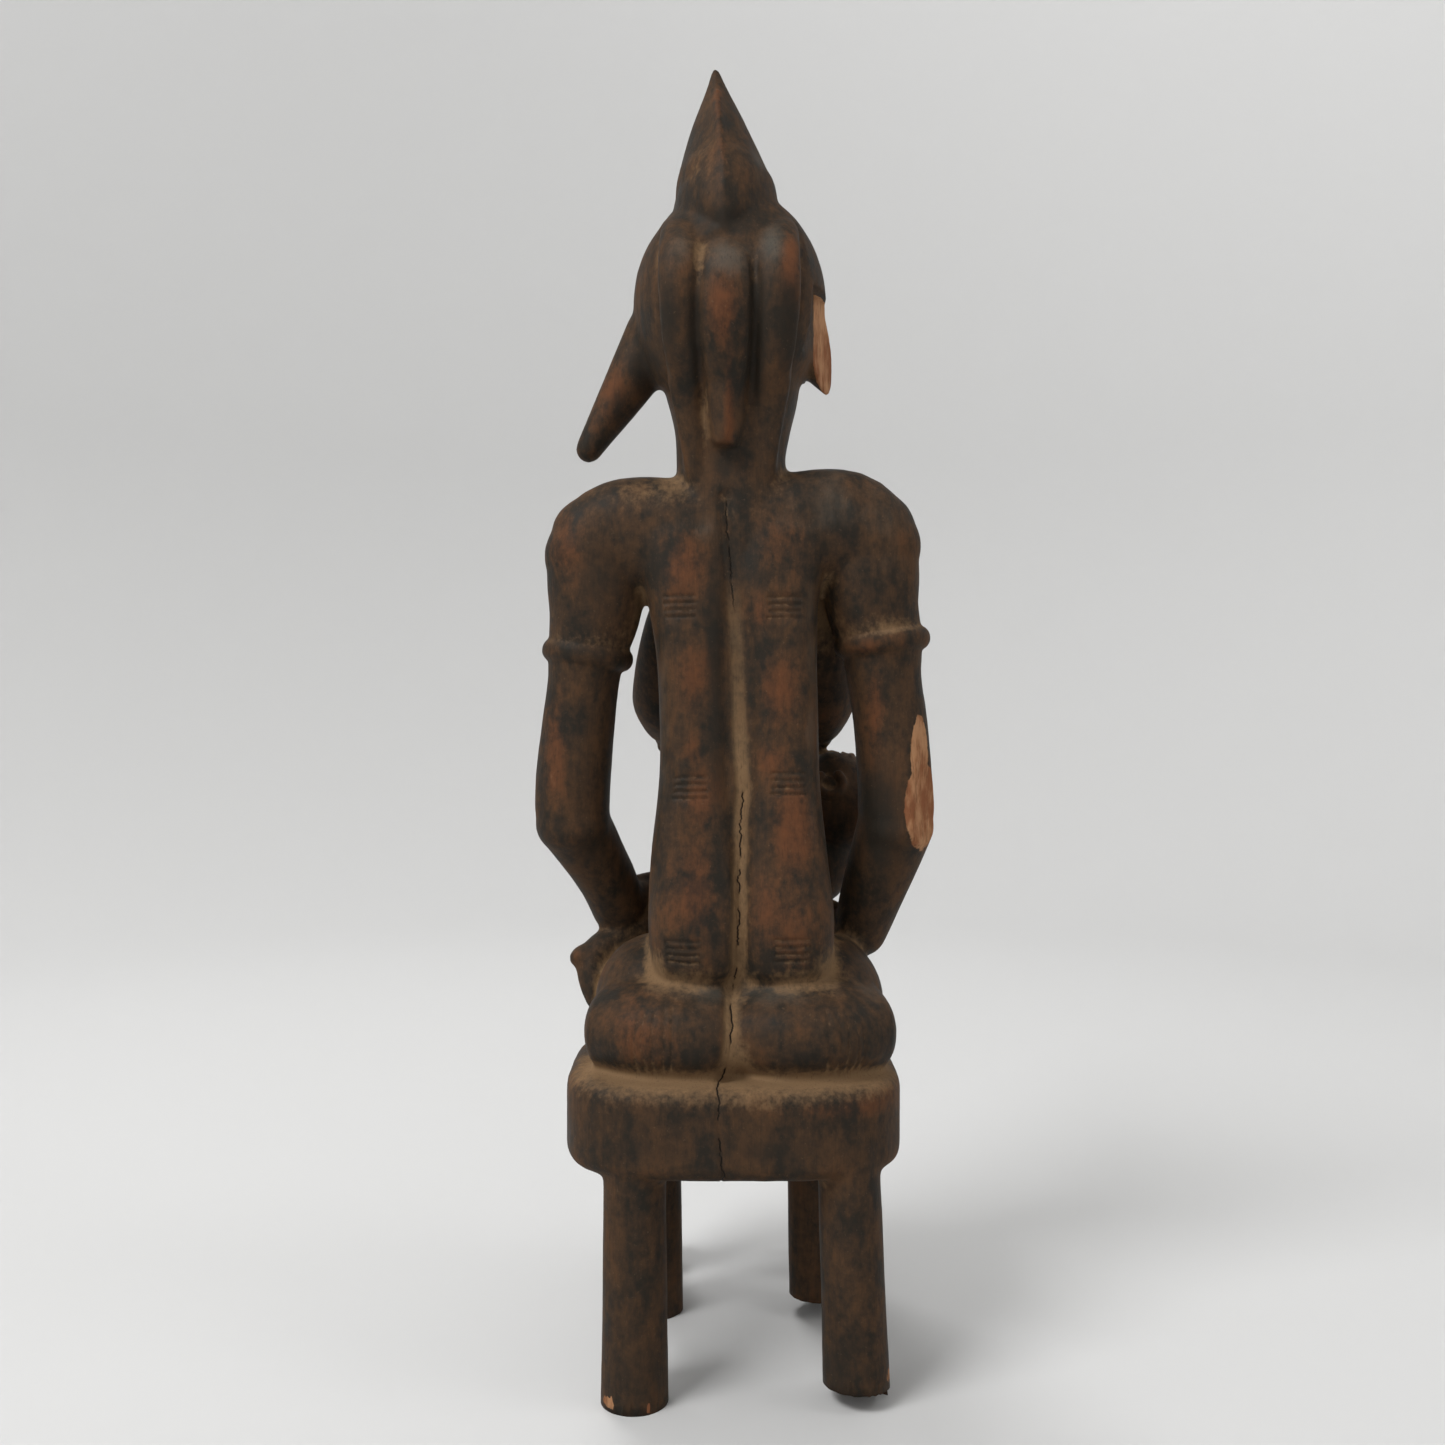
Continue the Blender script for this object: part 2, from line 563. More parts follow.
def add_crest(bm):
    """The tall pointed crest, longer from front to back than across."""
    limb(bm, [
        (3.2, 2.5, 311, 7.5, 30.5), (3.4, 1.2, 318, 14, 32.3), (3.1, 0.3, 327, 19.8, 32.9),
        (2.8, -0.6, 338, 20.8, 31.6), (3.7, -1.1, 344, 19.3, 29.4), (4.2, -1.7, 350, 17.8, 26.7),
        (5.1, -2, 362, 13.6, 20.5),
        (5.6, -2, 371, 10.0, 15.5), (6.0, -1.5, 379, 6.4, 10), (6.5, -1, 386, 3.4, 5.5),
        (6.9, -0.5, 390.6, 1.9, 2.4),
    ], square=1.8, ends=(0.25, 1.0))
    limb(bm, [(3.2, 29.6, 332, 3, 4), (4.2, 25.2, 346, 2.6, 4), (5.4, 16.5, 364, 2.0, 3.6),
              (6.2, 7.0, 379, 1.2, 2.8)])


def add_tresses(bm):
    """A long horn-like tress at the left. The right one is cut short by its break."""
    limb(bm, [
        (30, -3, 287, 13, 11.5), (36.7, -3, 275.5, 11.4, 10.5), (45, -3.5, 262, 9.2, 8.8),
        (52.5, -4, 250, 7.0, 7.0), (57.7, -4, 241.4, 5.5, 5.6),
    ], square=1.85)
    limb(bm, [
        (-24, -3, 290, 12, 11.5), (-34, -3, 281, 11.8, 11.2), (-44, -3, 272, 11.2, 10.8),
    ], square=2.1)


# The face is a plain, calm one of regular proportions

FACE_X = -0.5
FACE_MIDDLE = (-17, 277)
FACE_HALF = (26.5, 34, 43)
EYE_HEIGHT = 282
EYE_APART = 11.8
MOUTH_HEIGHT = 256.2


def face_y(x, z):
    """The front of the face's main form at a place across and up it."""
    rest = 1 - (x / FACE_HALF[0]) ** 2 - ((z - FACE_MIDDLE[1]) / FACE_HALF[2]) ** 2
    return FACE_MIDDLE[0] - FACE_HALF[1] * math.sqrt(max(rest, 0.02))


def add_face(bm):
    lump(bm, (FACE_X, FACE_MIDDLE[0], FACE_MIDDLE[1]), FACE_HALF, turn=(-6, 0, 0))
    lump(bm, (FACE_X, -36, 252), (17, 17, 15))
    lump(bm, (FACE_X, -43, 244), (9.5, 9, 7))
    lump(bm, (FACE_X, -46.5, 256.5), (11.5, 7.5, 8.5))
    for side in (1, -1):
        lump(bm, (FACE_X + 12.5 * side, -35.5, 267), (9.5, 8.5, 10))


def add_features(bm):
    """Brows, closed eyes, nose, lips and ears, added after the hollows are cut."""
    for side in (1, -1):
        brow = [(1.5, 285.5, 1.8), (5.5, 290.0, 2.2), (12.0, 292.8, 2.4), (18.5, 290.5, 2.1),
                (23.0, 284.5, 1.3)]
        limb(bm, [(FACE_X + x * side, face_y(x, z) + 0.4, z, half, half * 1.15)
                  for x, z, half in brow], side=(0, 0, 1))
        lump(bm, (FACE_X + EYE_APART * side, face_y(EYE_APART, EYE_HEIGHT) + 3.0, EYE_HEIGHT),
             (6.4, 4.6, 4.2), turn=(0, 4 * side, 22 * side))
        lump(bm, (FACE_X + 4.3 * side, -53.0, 269.2), (2.9, 3.6, 2.8))
        ear = []
        for step in range(9):
            angle = math.radians(215 - 32 * step)
            ear.append((30.0 * side + FACE_X, -20 + 4.6 * math.cos(angle),
                        278.6 + 6.2 * math.sin(angle), 1.5, 1.4))
        limb(bm, ear, ends=(1.0, 1.0))
        lump(bm, (28.0 * side + FACE_X, -20, 278), (3.4, 4.6, 6.2))
        lump(bm, (28.6 * side + FACE_X, -22.6, 274.0), (1.6, 2.0, 2.0))
    limb(bm, [
        (FACE_X, -48.5, 292.5, 2.6, 2.6), (FACE_X, -51.2, 284, 2.5, 3.2),
        (FACE_X, -53.6, 276, 3.1, 3.8), (FACE_X, -55.6, 270.6, 4.0, 4.2),
        (FACE_X, -54.6, 267.6, 3.4, 3.2),
    ], ends=(0.8, 0.5))
    for height, rise, full in ((1.9, 0.9, 2.1), (-2.2, -0.5, 2.4)):
        lip = [(-8.6, -49.8, 0.0, 0.9, 1.4), (-5.2, -53.0, 0.6, 1.6, 2.2), (0, -54.4, 1.0, 2.0, 2.8),
               (5.2, -53.0, 0.6, 1.6, 2.2), (8.6, -49.8, 0.0, 0.9, 1.4)]
        limb(bm, [(FACE_X + x, y, MOUTH_HEIGHT + height * share_up(x) + rise * bow, half * full / 2.0, deep)
                  for x, y, bow, half, deep in lip], side=(0, 0, 1))


def share_up(x):
    """How far the lips part from the mouth's line, none at the corners."""
    return 1 - (x / 8.6) ** 2 * 0.85


# Small features of the body

def add_armlets(bm):
    """A raised rounded band round each upper arm, square to the arm."""
    for centre, lean, radius in (((57.8, -0.5, 159), (1.7, 0, -12), 16.8),
                                 ((-59.4, -0.5, 164), (-1.4, 0, -12), 17.8)):
        along = Vector(lean).normalized()
        rows = []
        for angle in (-90, -65, -40, -15, 15, 40, 65, 90):
            turn = math.radians(angle)
            place = Vector(centre) + along * 4.9 * math.sin(turn)
            grow = radius - 3.2 + 4.7 * math.cos(turn)
            rows.append((place.x, place.y, place.z, grow, grow * 0.93))
        limb(bm, rows, ends=(0.05, 0.05), steps=2, sides=72)


def add_fingers(bm):
    """Four fingers and a thumb on each hand, closed round the child."""
    hands = [
        ((34, -42, 60), (18, -53.2, 58.2), (0.1, 0.55, 0.83), ((41, -34, 64), (27, -42, 66))),
        ((-41.5, -40, 42), (-24.5, -55.5, 43.5), (0, 0.1, 1), ((-46, -31, 52), (-36, -43, 55.5))),
    ]
    for knuckle, tip, spread, thumb in hands:
        knuckle, tip, spread = Vector(knuckle), Vector(tip), Vector(spread)
        for finger, length in enumerate((0.86, 1.0, 1.05, 0.95)):
            offset = spread * (finger - 1.5) * 4.5
            end = knuckle + (tip - knuckle) * length
            bend = (knuckle + end) / 2 + Vector((0, -1.6, 0))
            limb(bm, [(*(knuckle + offset), 2.6, 2.8), (*(bend + offset * 1.02), 2.7, 2.8),
                      (*(end + offset * 0.94), 2.1, 2.1)])
        start, end = Vector(thumb[0]), Vector(thumb[1])
        limb(bm, [(*start, 3.4, 3.4), (*((start + end) / 2 + Vector((0, -1.5, 0.6))), 3.0, 3.0),
                  (*end, 2.3, 2.3)])


def add_nipples_and_navel(bm):
    lump(bm, (30.2, -57.2, 122.0), (2.6, 2.6, 3.4), turn=(-30, 0, 0))
    lump(bm, (-2.4, -30, 71), (4.2, 4.5, 4.2))


# The child's head looks up at the breast: its middle and its face, crown and side directions
CHILD_HEAD = Vector((-44.5, -49.5, 99))
CHILD_FACE = Vector((-0.046, -0.381, 0.924))
CHILD_CROWN = Vector((-0.995, 0.082, -0.016))
CHILD_SIDE = CHILD_FACE.cross(CHILD_CROWN)


def on_child(face, crown, side):
    return tuple(CHILD_HEAD + CHILD_FACE * face + CHILD_CROWN * crown + CHILD_SIDE * side)


def add_child_features(bm):
    """The child's cap of hair, brows, closed eyes, nose, lips, chin and ears."""
    lump(bm, on_child(-3.4, 2.6, 0), (19.4, 19.4, 19.4))
    for side in (1, -1):
        limb(bm, [(*on_child(18.0, 6.2, 1.5 * side), 1.3, 1.5), (*on_child(17.4, 7.2, 6.0 * side), 1.5, 1.7),
                  (*on_child(14.6, 6.4, 11.5 * side), 1.2, 1.4)])
        lump(bm, on_child(16.1, 2.8, 7.0 * side), (3.4, 3.0, 3.0))
        ear = []
        for step in range(9):
            angle = math.radians(40 + 34 * step)
            ear.append((*on_child(5.2 * math.cos(angle), -2.0 + 5.2 * math.sin(angle), 19.9 * side),
                        1.9, 1.9))
        limb(bm, ear, side=(0.3, 0.2, 0.9))
        lump(bm, on_child(0, -2.0, 18.3 * side), (3.2, 2.2, 3.2))
    limb(bm, [(*on_child(18.6, 5.0, 0), 1.2, 1.4), (*on_child(19.8, 1.5, 0), 1.6, 1.8),
              (*on_child(20.4, -1.6, 0), 2.2, 2.0)])
    lump(bm, on_child(17.8, -5.8, 0), (4.4, 4.4, 3.4))
    lump(bm, on_child(13.4, -12.2, 0), (4.6, 4.6, 4.4))


def child_strokes():
    """The slits of the child's closed eyes and the creases of its wrists and thighs."""
    lids = [[on_child(19.0, 2.2, (7 + x) * side) for x in (-3.2, 0, 3.2)] for side in (1, -1)]
    creases = [[(-9, -68.5, 60), (-7, -69.5, 64), (-6.5, -67, 69)],
               [(14, -54, 62), (17, -56, 50), (19, -52, 41)]]
    return stroke_object("child_lines", lids + creases)


def add_knees_and_ankles(bm):
    for side in (1, -1):
        x = shin_x(side)
        lump(bm, (x, -84.5, 6), (8.5, 5.5, 9.5))
        for turn in (1, -1):
            place = (x + 6.9 * turn, -75, 0.25 * SEAT_TOP / SHARE - SEAT_TOP / SHARE)
            lump(bm, place, (2.8, 3.8, 4.2))


# Geometry Nodes and shader trees

class Wire:
    """An output socket that can be used in sums."""

    def __init__(self, graph, socket):
        self.graph = graph
        self.socket = socket

    def sum(self, operation, first, second=None, third=None):
        values = {0: first}
        if second is not None:
            values[1] = second
        if third is not None:
            values[2] = third
        kind = "ShaderNodeMath"
        return self.graph.node(kind, {"operation": operation}, values)

    def __add__(self, other):
        return self.sum("ADD", self, other)

    def __radd__(self, other):
        return self.sum("ADD", other, self)

    def __sub__(self, other):
        return self.sum("SUBTRACT", self, other)

    def __rsub__(self, other):
        return self.sum("SUBTRACT", other, self)

    def __mul__(self, other):
        return self.sum("MULTIPLY", self, other)

    def __rmul__(self, other):
        return self.sum("MULTIPLY", other, self)

    def __truediv__(self, other):
        return self.sum("DIVIDE", self, other)

    def __pow__(self, other):
        return self.sum("POWER", self, other)


class Graph:
    """A node tree with one way to add any node."""

    def __init__(self, tree):
        self.tree = tree

    def node(self, kind, settings=None, values=None, out=0):
        """Add a node, its settings first, then its sockets' values or links."""
        node = self.tree.nodes.new(kind)
        settings = dict(settings or {})
        stops = settings.pop("stops", None)
        for name, value in settings.items():
            setattr(node, name, value)
        if stops:
            self.set_stops(node.color_ramp, stops)
        for key, value in (values or {}).items():
            if isinstance(value, Wire):
                self.tree.links.new(value.socket, node.inputs[key])
            else:
                node.inputs[key].default_value = value
        return Wire(self, node.outputs[out])

    @staticmethod
    def set_stops(ramp, stops):
        while len(ramp.elements) < len(stops):
            ramp.elements.new(1.0)
        for element, (place, level) in zip(ramp.elements, stops):
            element.position = place
            element.color = (level, level, level, 1)


def geometry_graph(name, inputs):
    """A Geometry Nodes tree with named inputs, and its group input node."""
    tree = bpy.data.node_groups.new(name, "GeometryNodeTree")
    tree.interface.new_socket("Geometry", in_out="INPUT", socket_type="NodeSocketGeometry")
    for label, kind, default in inputs:
        socket = tree.interface.new_socket(label, in_out="INPUT", socket_type=kind)
        if default is not None:
            socket.default_value = default
    tree.interface.new_socket("Geometry", in_out="OUTPUT", socket_type="NodeSocketGeometry")
    graph = Graph(tree)
    group = tree.nodes.new("NodeGroupInput")

    def given(label):
        return Wire(graph, group.outputs[label])

    return graph, given


def finish_tree(graph, geometry, material):
    """End a tree: real geometry with its material."""
    real = graph.node("GeometryNodeRealizeInstances", {}, {0: geometry})
    made = graph.node("GeometryNodeSetMaterial", {}, {"Geometry": real, "Material": material})
    output = graph.tree.nodes.new("NodeGroupOutput")
    graph.tree.links.new(made.socket, output.inputs[0])


def run_tree(thing, tree, values):
    """Give a tree its inputs, run it on an object and keep the result as plain mesh."""
    modifier = thing.modifiers.new(tree.name, "NODES")
    modifier.node_group = tree
    for item in tree.interface.items_tree:
        if item.in_out == "INPUT" and item.name in values:
            modifier[item.identifier] = values[item.name]
    result = evaluated(thing)
    thing.modifiers.clear()
    old = thing.data
    thing.data = result
    bpy.data.meshes.remove(old)


def evaluated(thing):
    depsgraph = bpy.context.evaluated_depsgraph_get()
    depsgraph.update()
    return bpy.data.meshes.new_from_object(thing.evaluated_get(depsgraph))


def rows_tree():
    """Rows of short strokes that lie on a surface, one row at each point."""
    graph, given = geometry_graph("Rows of Strokes", [
        ("Surface", "NodeSocketObject", None), ("Count", "NodeSocketInt", 4),
        ("Spacing", "NodeSocketFloat", 0.0026), ("Length", "NodeSocketFloat", 0.012),
        ("Wander", "NodeSocketFloat", 0.0003), ("Seed", "NodeSocketInt", 1),
        ("Material", "NodeSocketMaterial", None)])
    points_each = 13
    step = given("Length") / (points_each - 1)
    start = graph.node("ShaderNodeCombineXYZ", {}, {0: given("Length") * -0.5})
    stride = graph.node("ShaderNodeCombineXYZ", {}, {0: step})
    stroke = graph.node("GeometryNodeMeshLine", {"mode": "OFFSET"}, {
        "Count": points_each, "Start Location": start, "Offset": stride})
    down = graph.node("ShaderNodeCombineXYZ", {}, {2: given("Spacing")})
    top = graph.node("ShaderNodeCombineXYZ", {}, {
        2: (given("Count") - 1) * given("Spacing") * -0.5})
    ladder = graph.node("GeometryNodeMeshLine", {"mode": "OFFSET"}, {
        "Count": given("Count"), "Start Location": top, "Offset": down})
    uneven = graph.node("FunctionNodeRandomValue", {"data_type": "FLOAT"}, {
        2: 0.82, 3: 1.08, "Seed": given("Seed")}, out=1)
    stretch = graph.node("ShaderNodeCombineXYZ", {}, {0: uneven, 1: 1.0, 2: 1.0})
    lean = graph.node("FunctionNodeRandomValue", {"data_type": "FLOAT"}, {
        2: -0.05, 3: 0.05, "Seed": given("Seed") + 7}, out=1)
    tilt = graph.node("ShaderNodeCombineXYZ", {}, {1: lean})
    row = graph.node("GeometryNodeInstanceOnPoints", {}, {
        "Points": ladder, "Instance": stroke, "Rotation": tilt, "Scale": stretch})
    row = graph.node("GeometryNodeRealizeInstances", {}, {0: row})
    turn = graph.node("GeometryNodeInputNamedAttribute", {"data_type": "FLOAT_VECTOR"}, {0: "turn"})
    rows = graph.node("GeometryNodeInstanceOnPoints", {}, {
        "Points": given("Geometry"), "Instance": row, "Rotation": turn})
    rows = graph.node("GeometryNodeRealizeInstances", {}, {0: rows})
    wobble = graph.node("ShaderNodeTexNoise", {"noise_dimensions": "3D"}, {"Scale": 260.0}, out=1)
    centred = graph.node("ShaderNodeVectorMath", {"operation": "SUBTRACT"}, {
        0: wobble, 1: (0.5, 0.5, 0.5)})
    shift = graph.node("ShaderNodeVectorMath", {"operation": "SCALE"}, {
        0: centred, "Scale": given("Wander") * 4})
    rows = graph.node("GeometryNodeSetPosition", {}, {"Geometry": rows, "Offset": shift})
    surface = graph.node("GeometryNodeObjectInfo", {"transform_space": "RELATIVE"}, {
        0: given("Surface")}, out=4)
    nearest = graph.node("GeometryNodeProximity", {"target_element": "FACES"}, {0: surface})
    rows = graph.node("GeometryNodeSetPosition", {}, {"Geometry": rows, "Position": nearest})
    finish_tree(graph, rows, given("Material"))
    return graph.tree


def carve_tree():
    """Sinks a surface along strokes: full depth in the middle, none past the width."""
    graph, given = geometry_graph("Carve Along Strokes", [
        ("Strokes", "NodeSocketObject", None), ("Width", "NodeSocketFloat", 0.001),
        ("Flat", "NodeSocketFloat", 0.0), ("Depth", "NodeSocketFloat", 0.001),
        ("Roughness", "NodeSocketFloat", 0.0), ("Mark", "NodeSocketFloat", 1.0),
        ("Material", "NodeSocketMaterial", None)])
    strokes = graph.node("GeometryNodeObjectInfo", {"transform_space": "RELATIVE"}, {
        0: given("Strokes")}, out=4)
    away = graph.node("GeometryNodeProximity", {"target_element": "EDGES"}, {0: strokes}, out=1)
    ragged = graph.node("ShaderNodeTexNoise", {}, {"Scale": 420.0, "Detail": 3.0})
    away = away + (ragged - 0.5) * given("Roughness")
    share = graph.node("ShaderNodeMapRange", {"interpolation_type": "SMOOTHSTEP"}, {
        0: away, 1: given("Flat"), 2: given("Width"), 3: 1.0, 4: 0.0})
    normal = graph.node("GeometryNodeInputNormal")
    sink = graph.node("ShaderNodeVectorMath", {"operation": "SCALE"}, {
        0: normal, "Scale": share * given("Depth") * -1})
    cut = graph.node("GeometryNodeSetPosition", {}, {"Geometry": given("Geometry"), "Offset": sink})
    earlier = graph.node("GeometryNodeInputNamedAttribute", {"data_type": "FLOAT"}, {0: "cut"})
    marked = graph.node("ShaderNodeMath", {"operation": "MAXIMUM"}, {
        0: earlier, 1: share * given("Mark")})
    cut = graph.node("GeometryNodeStoreNamedAttribute", {"data_type": "FLOAT", "domain": "POINT"}, {
        "Geometry": cut, "Name": "cut", "Value": marked})
    finish_tree(graph, cut, given("Material"))
    return graph.tree


def knife_tree():
    """The slow unevenness of hand carving, longer along the grain."""
    graph, given = geometry_graph("Knife Work", [
        ("Unevenness", "NodeSocketFloat", 0.0003), ("Material", "NodeSocketMaterial", None)])
    place = graph.node("GeometryNodeInputPosition")
    along = graph.node("ShaderNodeVectorMath", {"operation": "MULTIPLY"}, {
        0: place, 1: (1.0, 1.0, 0.45)})
    slow = graph.node("ShaderNodeTexNoise", {}, {"Vector": along, "Scale": 70.0, "Detail": 1.0})
    quick = graph.node("ShaderNodeTexNoise", {}, {"Vector": along, "Scale": 260.0, "Detail": 2.0})
    rise = (slow - 0.5) * given("Unevenness") * 2.0 + (quick - 0.5) * given("Unevenness") * 0.5
    normal = graph.node("GeometryNodeInputNormal")
    offset = graph.node("ShaderNodeVectorMath", {"operation": "SCALE"}, {0: normal, "Scale": rise})
    worked = graph.node("GeometryNodeSetPosition", {}, {
        "Geometry": given("Geometry"), "Offset": offset})
    finish_tree(graph, worked, given("Material"))
    return graph.tree


# Strokes that the knife follows

def stroke_object(name, strokes):
    """Edges along each list of places, which are in shares."""
    bm = bmesh.new()
    for stroke in strokes:
        stations = [(at(*place), 0.0, 0.0) for place in stroke]
        places = [place for place, _, _ in smooth_stations(stations, 6)]
        verts = [bm.verts.new(place) for place in places]
        for pair in zip(verts, verts[1:]):
            bm.edges.new(pair)
    mesh = bpy.data.meshes.new(name)
    bm.to_mesh(mesh)
    bm.free()
    made = bpy.data.objects.new(name, mesh)
    working_collection("Strokes").objects.link(made)
    return made


def point_object(name, places, turns):
    """Loose points with the turn of the row that each one carries."""
    mesh = bpy.data.meshes.new(name)
    mesh.from_pydata([at(*place) for place in places], [], [])
    layer = mesh.attributes.new("turn", "FLOAT_VECTOR", "POINT")
    for value, turn in zip(layer.data, turns):
        value.vector = [math.radians(angle) for angle in turn]
    made = bpy.data.objects.new(name, mesh)
    working_collection("Strokes").objects.link(made)
    return made


def snapped(strokes, tree, distance=0.03):
    """Lay strokes on the surface of a BVH tree."""
    for vertex in strokes.data.vertices:
        place, _, _, _ = tree.find_nearest(vertex.co, distance)
        if place is not None:
            vertex.co = place
    return strokes


def socket_strokes():
    """Hollows either side of the nose, under the brow."""
    strokes = []
    for side in (1, -1):
        strokes.append([(FACE_X + x * side, face_y(x, z), z)
                        for x, z in ((5.5, 281.5), (11.5, 283), (18.0, 282))])
    return stroke_object("sockets", strokes)


def lid_strokes():
    """The line of the closed lids and the crease above them."""
    strokes = []
    for side in (1, -1):
        for rise, drop in ((-1.4, 1.5), (3.6, -1.0)):
            row = []
            for step in range(5):
                share = step / 4
                x = 5.6 + 12.2 * share
                z = EYE_HEIGHT + rise - drop * math.sin(math.pi * share)
                row.append((FACE_X + x * side, face_y(x, z), z))
            strokes.append(row)
    return stroke_object("lids", strokes)


def mouth_strokes():
    """The line of the closed mouth, the nostrils' wings and the groove under the lip."""
    mouth = [(FACE_X + x, -54 + (x / 8.6) ** 2 * 4.5, MOUTH_HEIGHT + 0.35 * math.cos(x * 0.7))
             for x in (-9.2, -6, -3, 0, 3, 6, 9.2)]
    wings = [[(FACE_X + side * 7.0, -50.5, 271.5), (FACE_X + side * 7.4, -50.5, 268.5),
              (FACE_X + side * 5.6, -51.5, 266.2)] for side in (1, -1)]
    return stroke_object("mouth", [mouth] + wings)


def toe_strokes():
    """Four grooves between the toes of each foot."""
    strokes = []
    sole = SEAT_TOP * 0.14 / SHARE - SEAT_TOP / SHARE
    for side in (1, -1):
        for toe in range(4):
            x = shin_x(side) + (toe - 1.5) * 4.1
            strokes.append([(x * 1.0, -90, sole + 3.2), (x, -96, sole + 1.8), (x, -101, sole - 2.5)])
    for toe in range(3):
        strokes.append([(52.0 + toe * 0.3, -17.5 + toe * 3.0, 26), (53.5, -14 + toe * 2.2, 20)])
        strokes.append([(57.5, -39.5 + toe * 3.0, 27), (59.0, -38.5 + toe * 2.2, 20)])
    return stroke_object("toes", strokes)


def hair_strokes():
    """Valleys between the lobes of hair, and round the braid's top and sides."""
    strokes = []
    for x, bottom, top in ((29.0, 262, 322), (-26.5, 262, 324)):
        row = []
        for step in range(7):
            z = bottom + (top - bottom) * step / 6
            lift = max(0.0, (z - 298) / 40)
            row.append((x * (1 - 0.30 * lift ** 2), 29 - 20 * lift, z))
        strokes.append(row)
    strokes.append([(11.2, 24, 252), (13.2, 28, 266), (14.6, 32, 284), (14.2, 30, 298), (11.6, 28, 307),
                    (3.2, 26, 312), (-5.2, 28, 307), (-7.8, 30, 298), (-8.2, 32, 284), (-7.4, 28, 266),
                    (-6.2, 24, 252)])
    return stroke_object("valleys", strokes)


def spine_stroke(low, high):
    """The crack's line between two heights, down the middle of the back."""
    reach = [(x, 60, z) for x, z in CRACK if low <= z <= high]
    return stroke_object("spine", [reach])


def lay_on_back(strokes, tree):
    """Push strokes forward from behind until they meet the carving's back."""
    for vertex in strokes.data.vertices:
        start = Vector((vertex.co.x, CAD_HIGH.y + 0.05, vertex.co.z))
        hit, _, _, _ = tree.ray_cast(start, Vector((0, -1, 0)))
        if hit is not None:
            vertex.co = hit
    return strokes


# Joining, cutting and breaking

def joined(name, collection, grid, passes, start=None):
    """All closed forms of a collection as one surface on a grid, softened."""
    bm = bmesh.new()
    for thing in list(collection.objects):
        bm.from_mesh(thing.data)
        mesh = thing.data
        bpy.data.objects.remove(thing)
        bpy.data.meshes.remove(mesh)
    if start is not None:
        bm.from_mesh(start.data)
        bpy.data.objects.remove(start)
    mesh = bpy.data.meshes.new(name)
    bm.to_mesh(mesh)
    bm.free()
    made = bpy.data.objects.new(name, mesh)
    bpy.context.scene.collection.objects.link(made)
    remesh = made.modifiers.new("join", "REMESH")
    remesh.mode = "VOXEL"
    remesh.voxel_size = grid
    soften = made.modifiers.new("soften", "SMOOTH")
    soften.factor = 0.5
    soften.iterations = passes
    dense = evaluated(made)
    made.modifiers.clear()
    made.data = dense
    bpy.data.meshes.remove(mesh)
    return made


def surface_of(thing):
    return BVHTree.FromObject(thing, bpy.context.evaluated_depsgraph_get())


def carve(thing, strokes, material, width, depth, flat=0.0, rough=0.0, mark=1.0):
    """Cut an object along strokes, in shares, and drop the strokes."""
    tree = bpy.data.node_groups.get("Carve Along Strokes") or carve_tree()
    run_tree(thing, tree, {
        "Strokes": strokes, "Width": width * SHARE, "Depth": depth * SHARE, "Flat": flat * SHARE,
        "Roughness": rough * SHARE, "Mark": mark, "Material": material})
    bpy.data.objects.remove(strokes)


def scar_rows(name, places, turns, surface, settings):
    """Rows of strokes laid on the carving by Geometry Nodes."""
    rows = point_object(name, places, turns)
    tree = bpy.data.node_groups.get("Rows of Strokes") or rows_tree()
    run_tree(rows, tree, {"Surface": surface, **settings})
    return rows


def rough_slab(name, place, facing, size, rough, grain=(1, 1, 0.25)):
    """A closed cutter whose near face is torn along the grain, or plain when rough is 0."""
    facing = Vector(facing).normalized()
    turn = facing.to_track_quat("Z", "Y").to_matrix()
    bm = bmesh.new()
    steps = max(int(size / TORN_STEP), 4) if rough else 1
    bmesh.ops.create_grid(bm, x_segments=steps, y_segments=steps, size=size / 2)
    extruded = bmesh.ops.extrude_face_region(bm, geom=list(bm.faces))
    for item in extruded["geom"]:
        if isinstance(item, bmesh.types.BMVert):
            item.co.z += size
    for vertex in bm.verts:
        near = vertex.co.z < size / 2
        vertex.co = Vector(place) + turn @ vertex.co
        if near and rough:
            spot = Vector([vertex.co[i] * grain[i] for i in range(3)]) * 700
            ragged = noise.fractal(spot, 0.7, 2.0, 3)
            vertex.co += facing * ragged * rough
    slab = new_object(name, bm, working_collection("Cutters"))
    return slab


def breaks():
    """Each break: its name, place, facing, cutter size in metres, raggedness, and whether raw."""
    found = [("floor", Vector((MIDDLE.x, MIDDLE.y, 0)), (0, 0, -1), 0.30, 0.0, False)]
    for name in ("back_right", "front_right"):
        size = 3 * LEG_RADIUS
        worn = leg_place(name, FOOT_WEAR) + Vector((0, size / 2 - LEG_RADIUS * 0.7, 0))
        found.append((name, worn, (0.04, 0.06, -1), size, 0.0003, False))
    found.append(("tress", at(-35.2, -1.5, 278), (-0.92, 0.39, 0), 44 * SHARE, 0.00012, True))
    found.append(("arm", at(-74.2, 6.2, 106), (-0.70, 0.71, -0.03), 62 * SHARE, 0.00020, False))
    return found


def break_off(figure):
    """Take the broken pieces off with the rough cutters."""
    for name, place, facing, size, rough, _ in breaks():
        slab = rough_slab("cut_" + name, place, facing, size, rough)
        cut = figure.modifiers.new(name, "BOOLEAN")
        cut.operation = "DIFFERENCE"
        cut.solver = "MANIFOLD"
        cut.object = slab
    dense = evaluated(figure)
    figure.modifiers.clear()
    old = figure.data
    figure.data = dense
    bpy.data.meshes.remove(old)
    for slab in list(working_collection("Cutters").objects):
        bpy.data.objects.remove(slab)


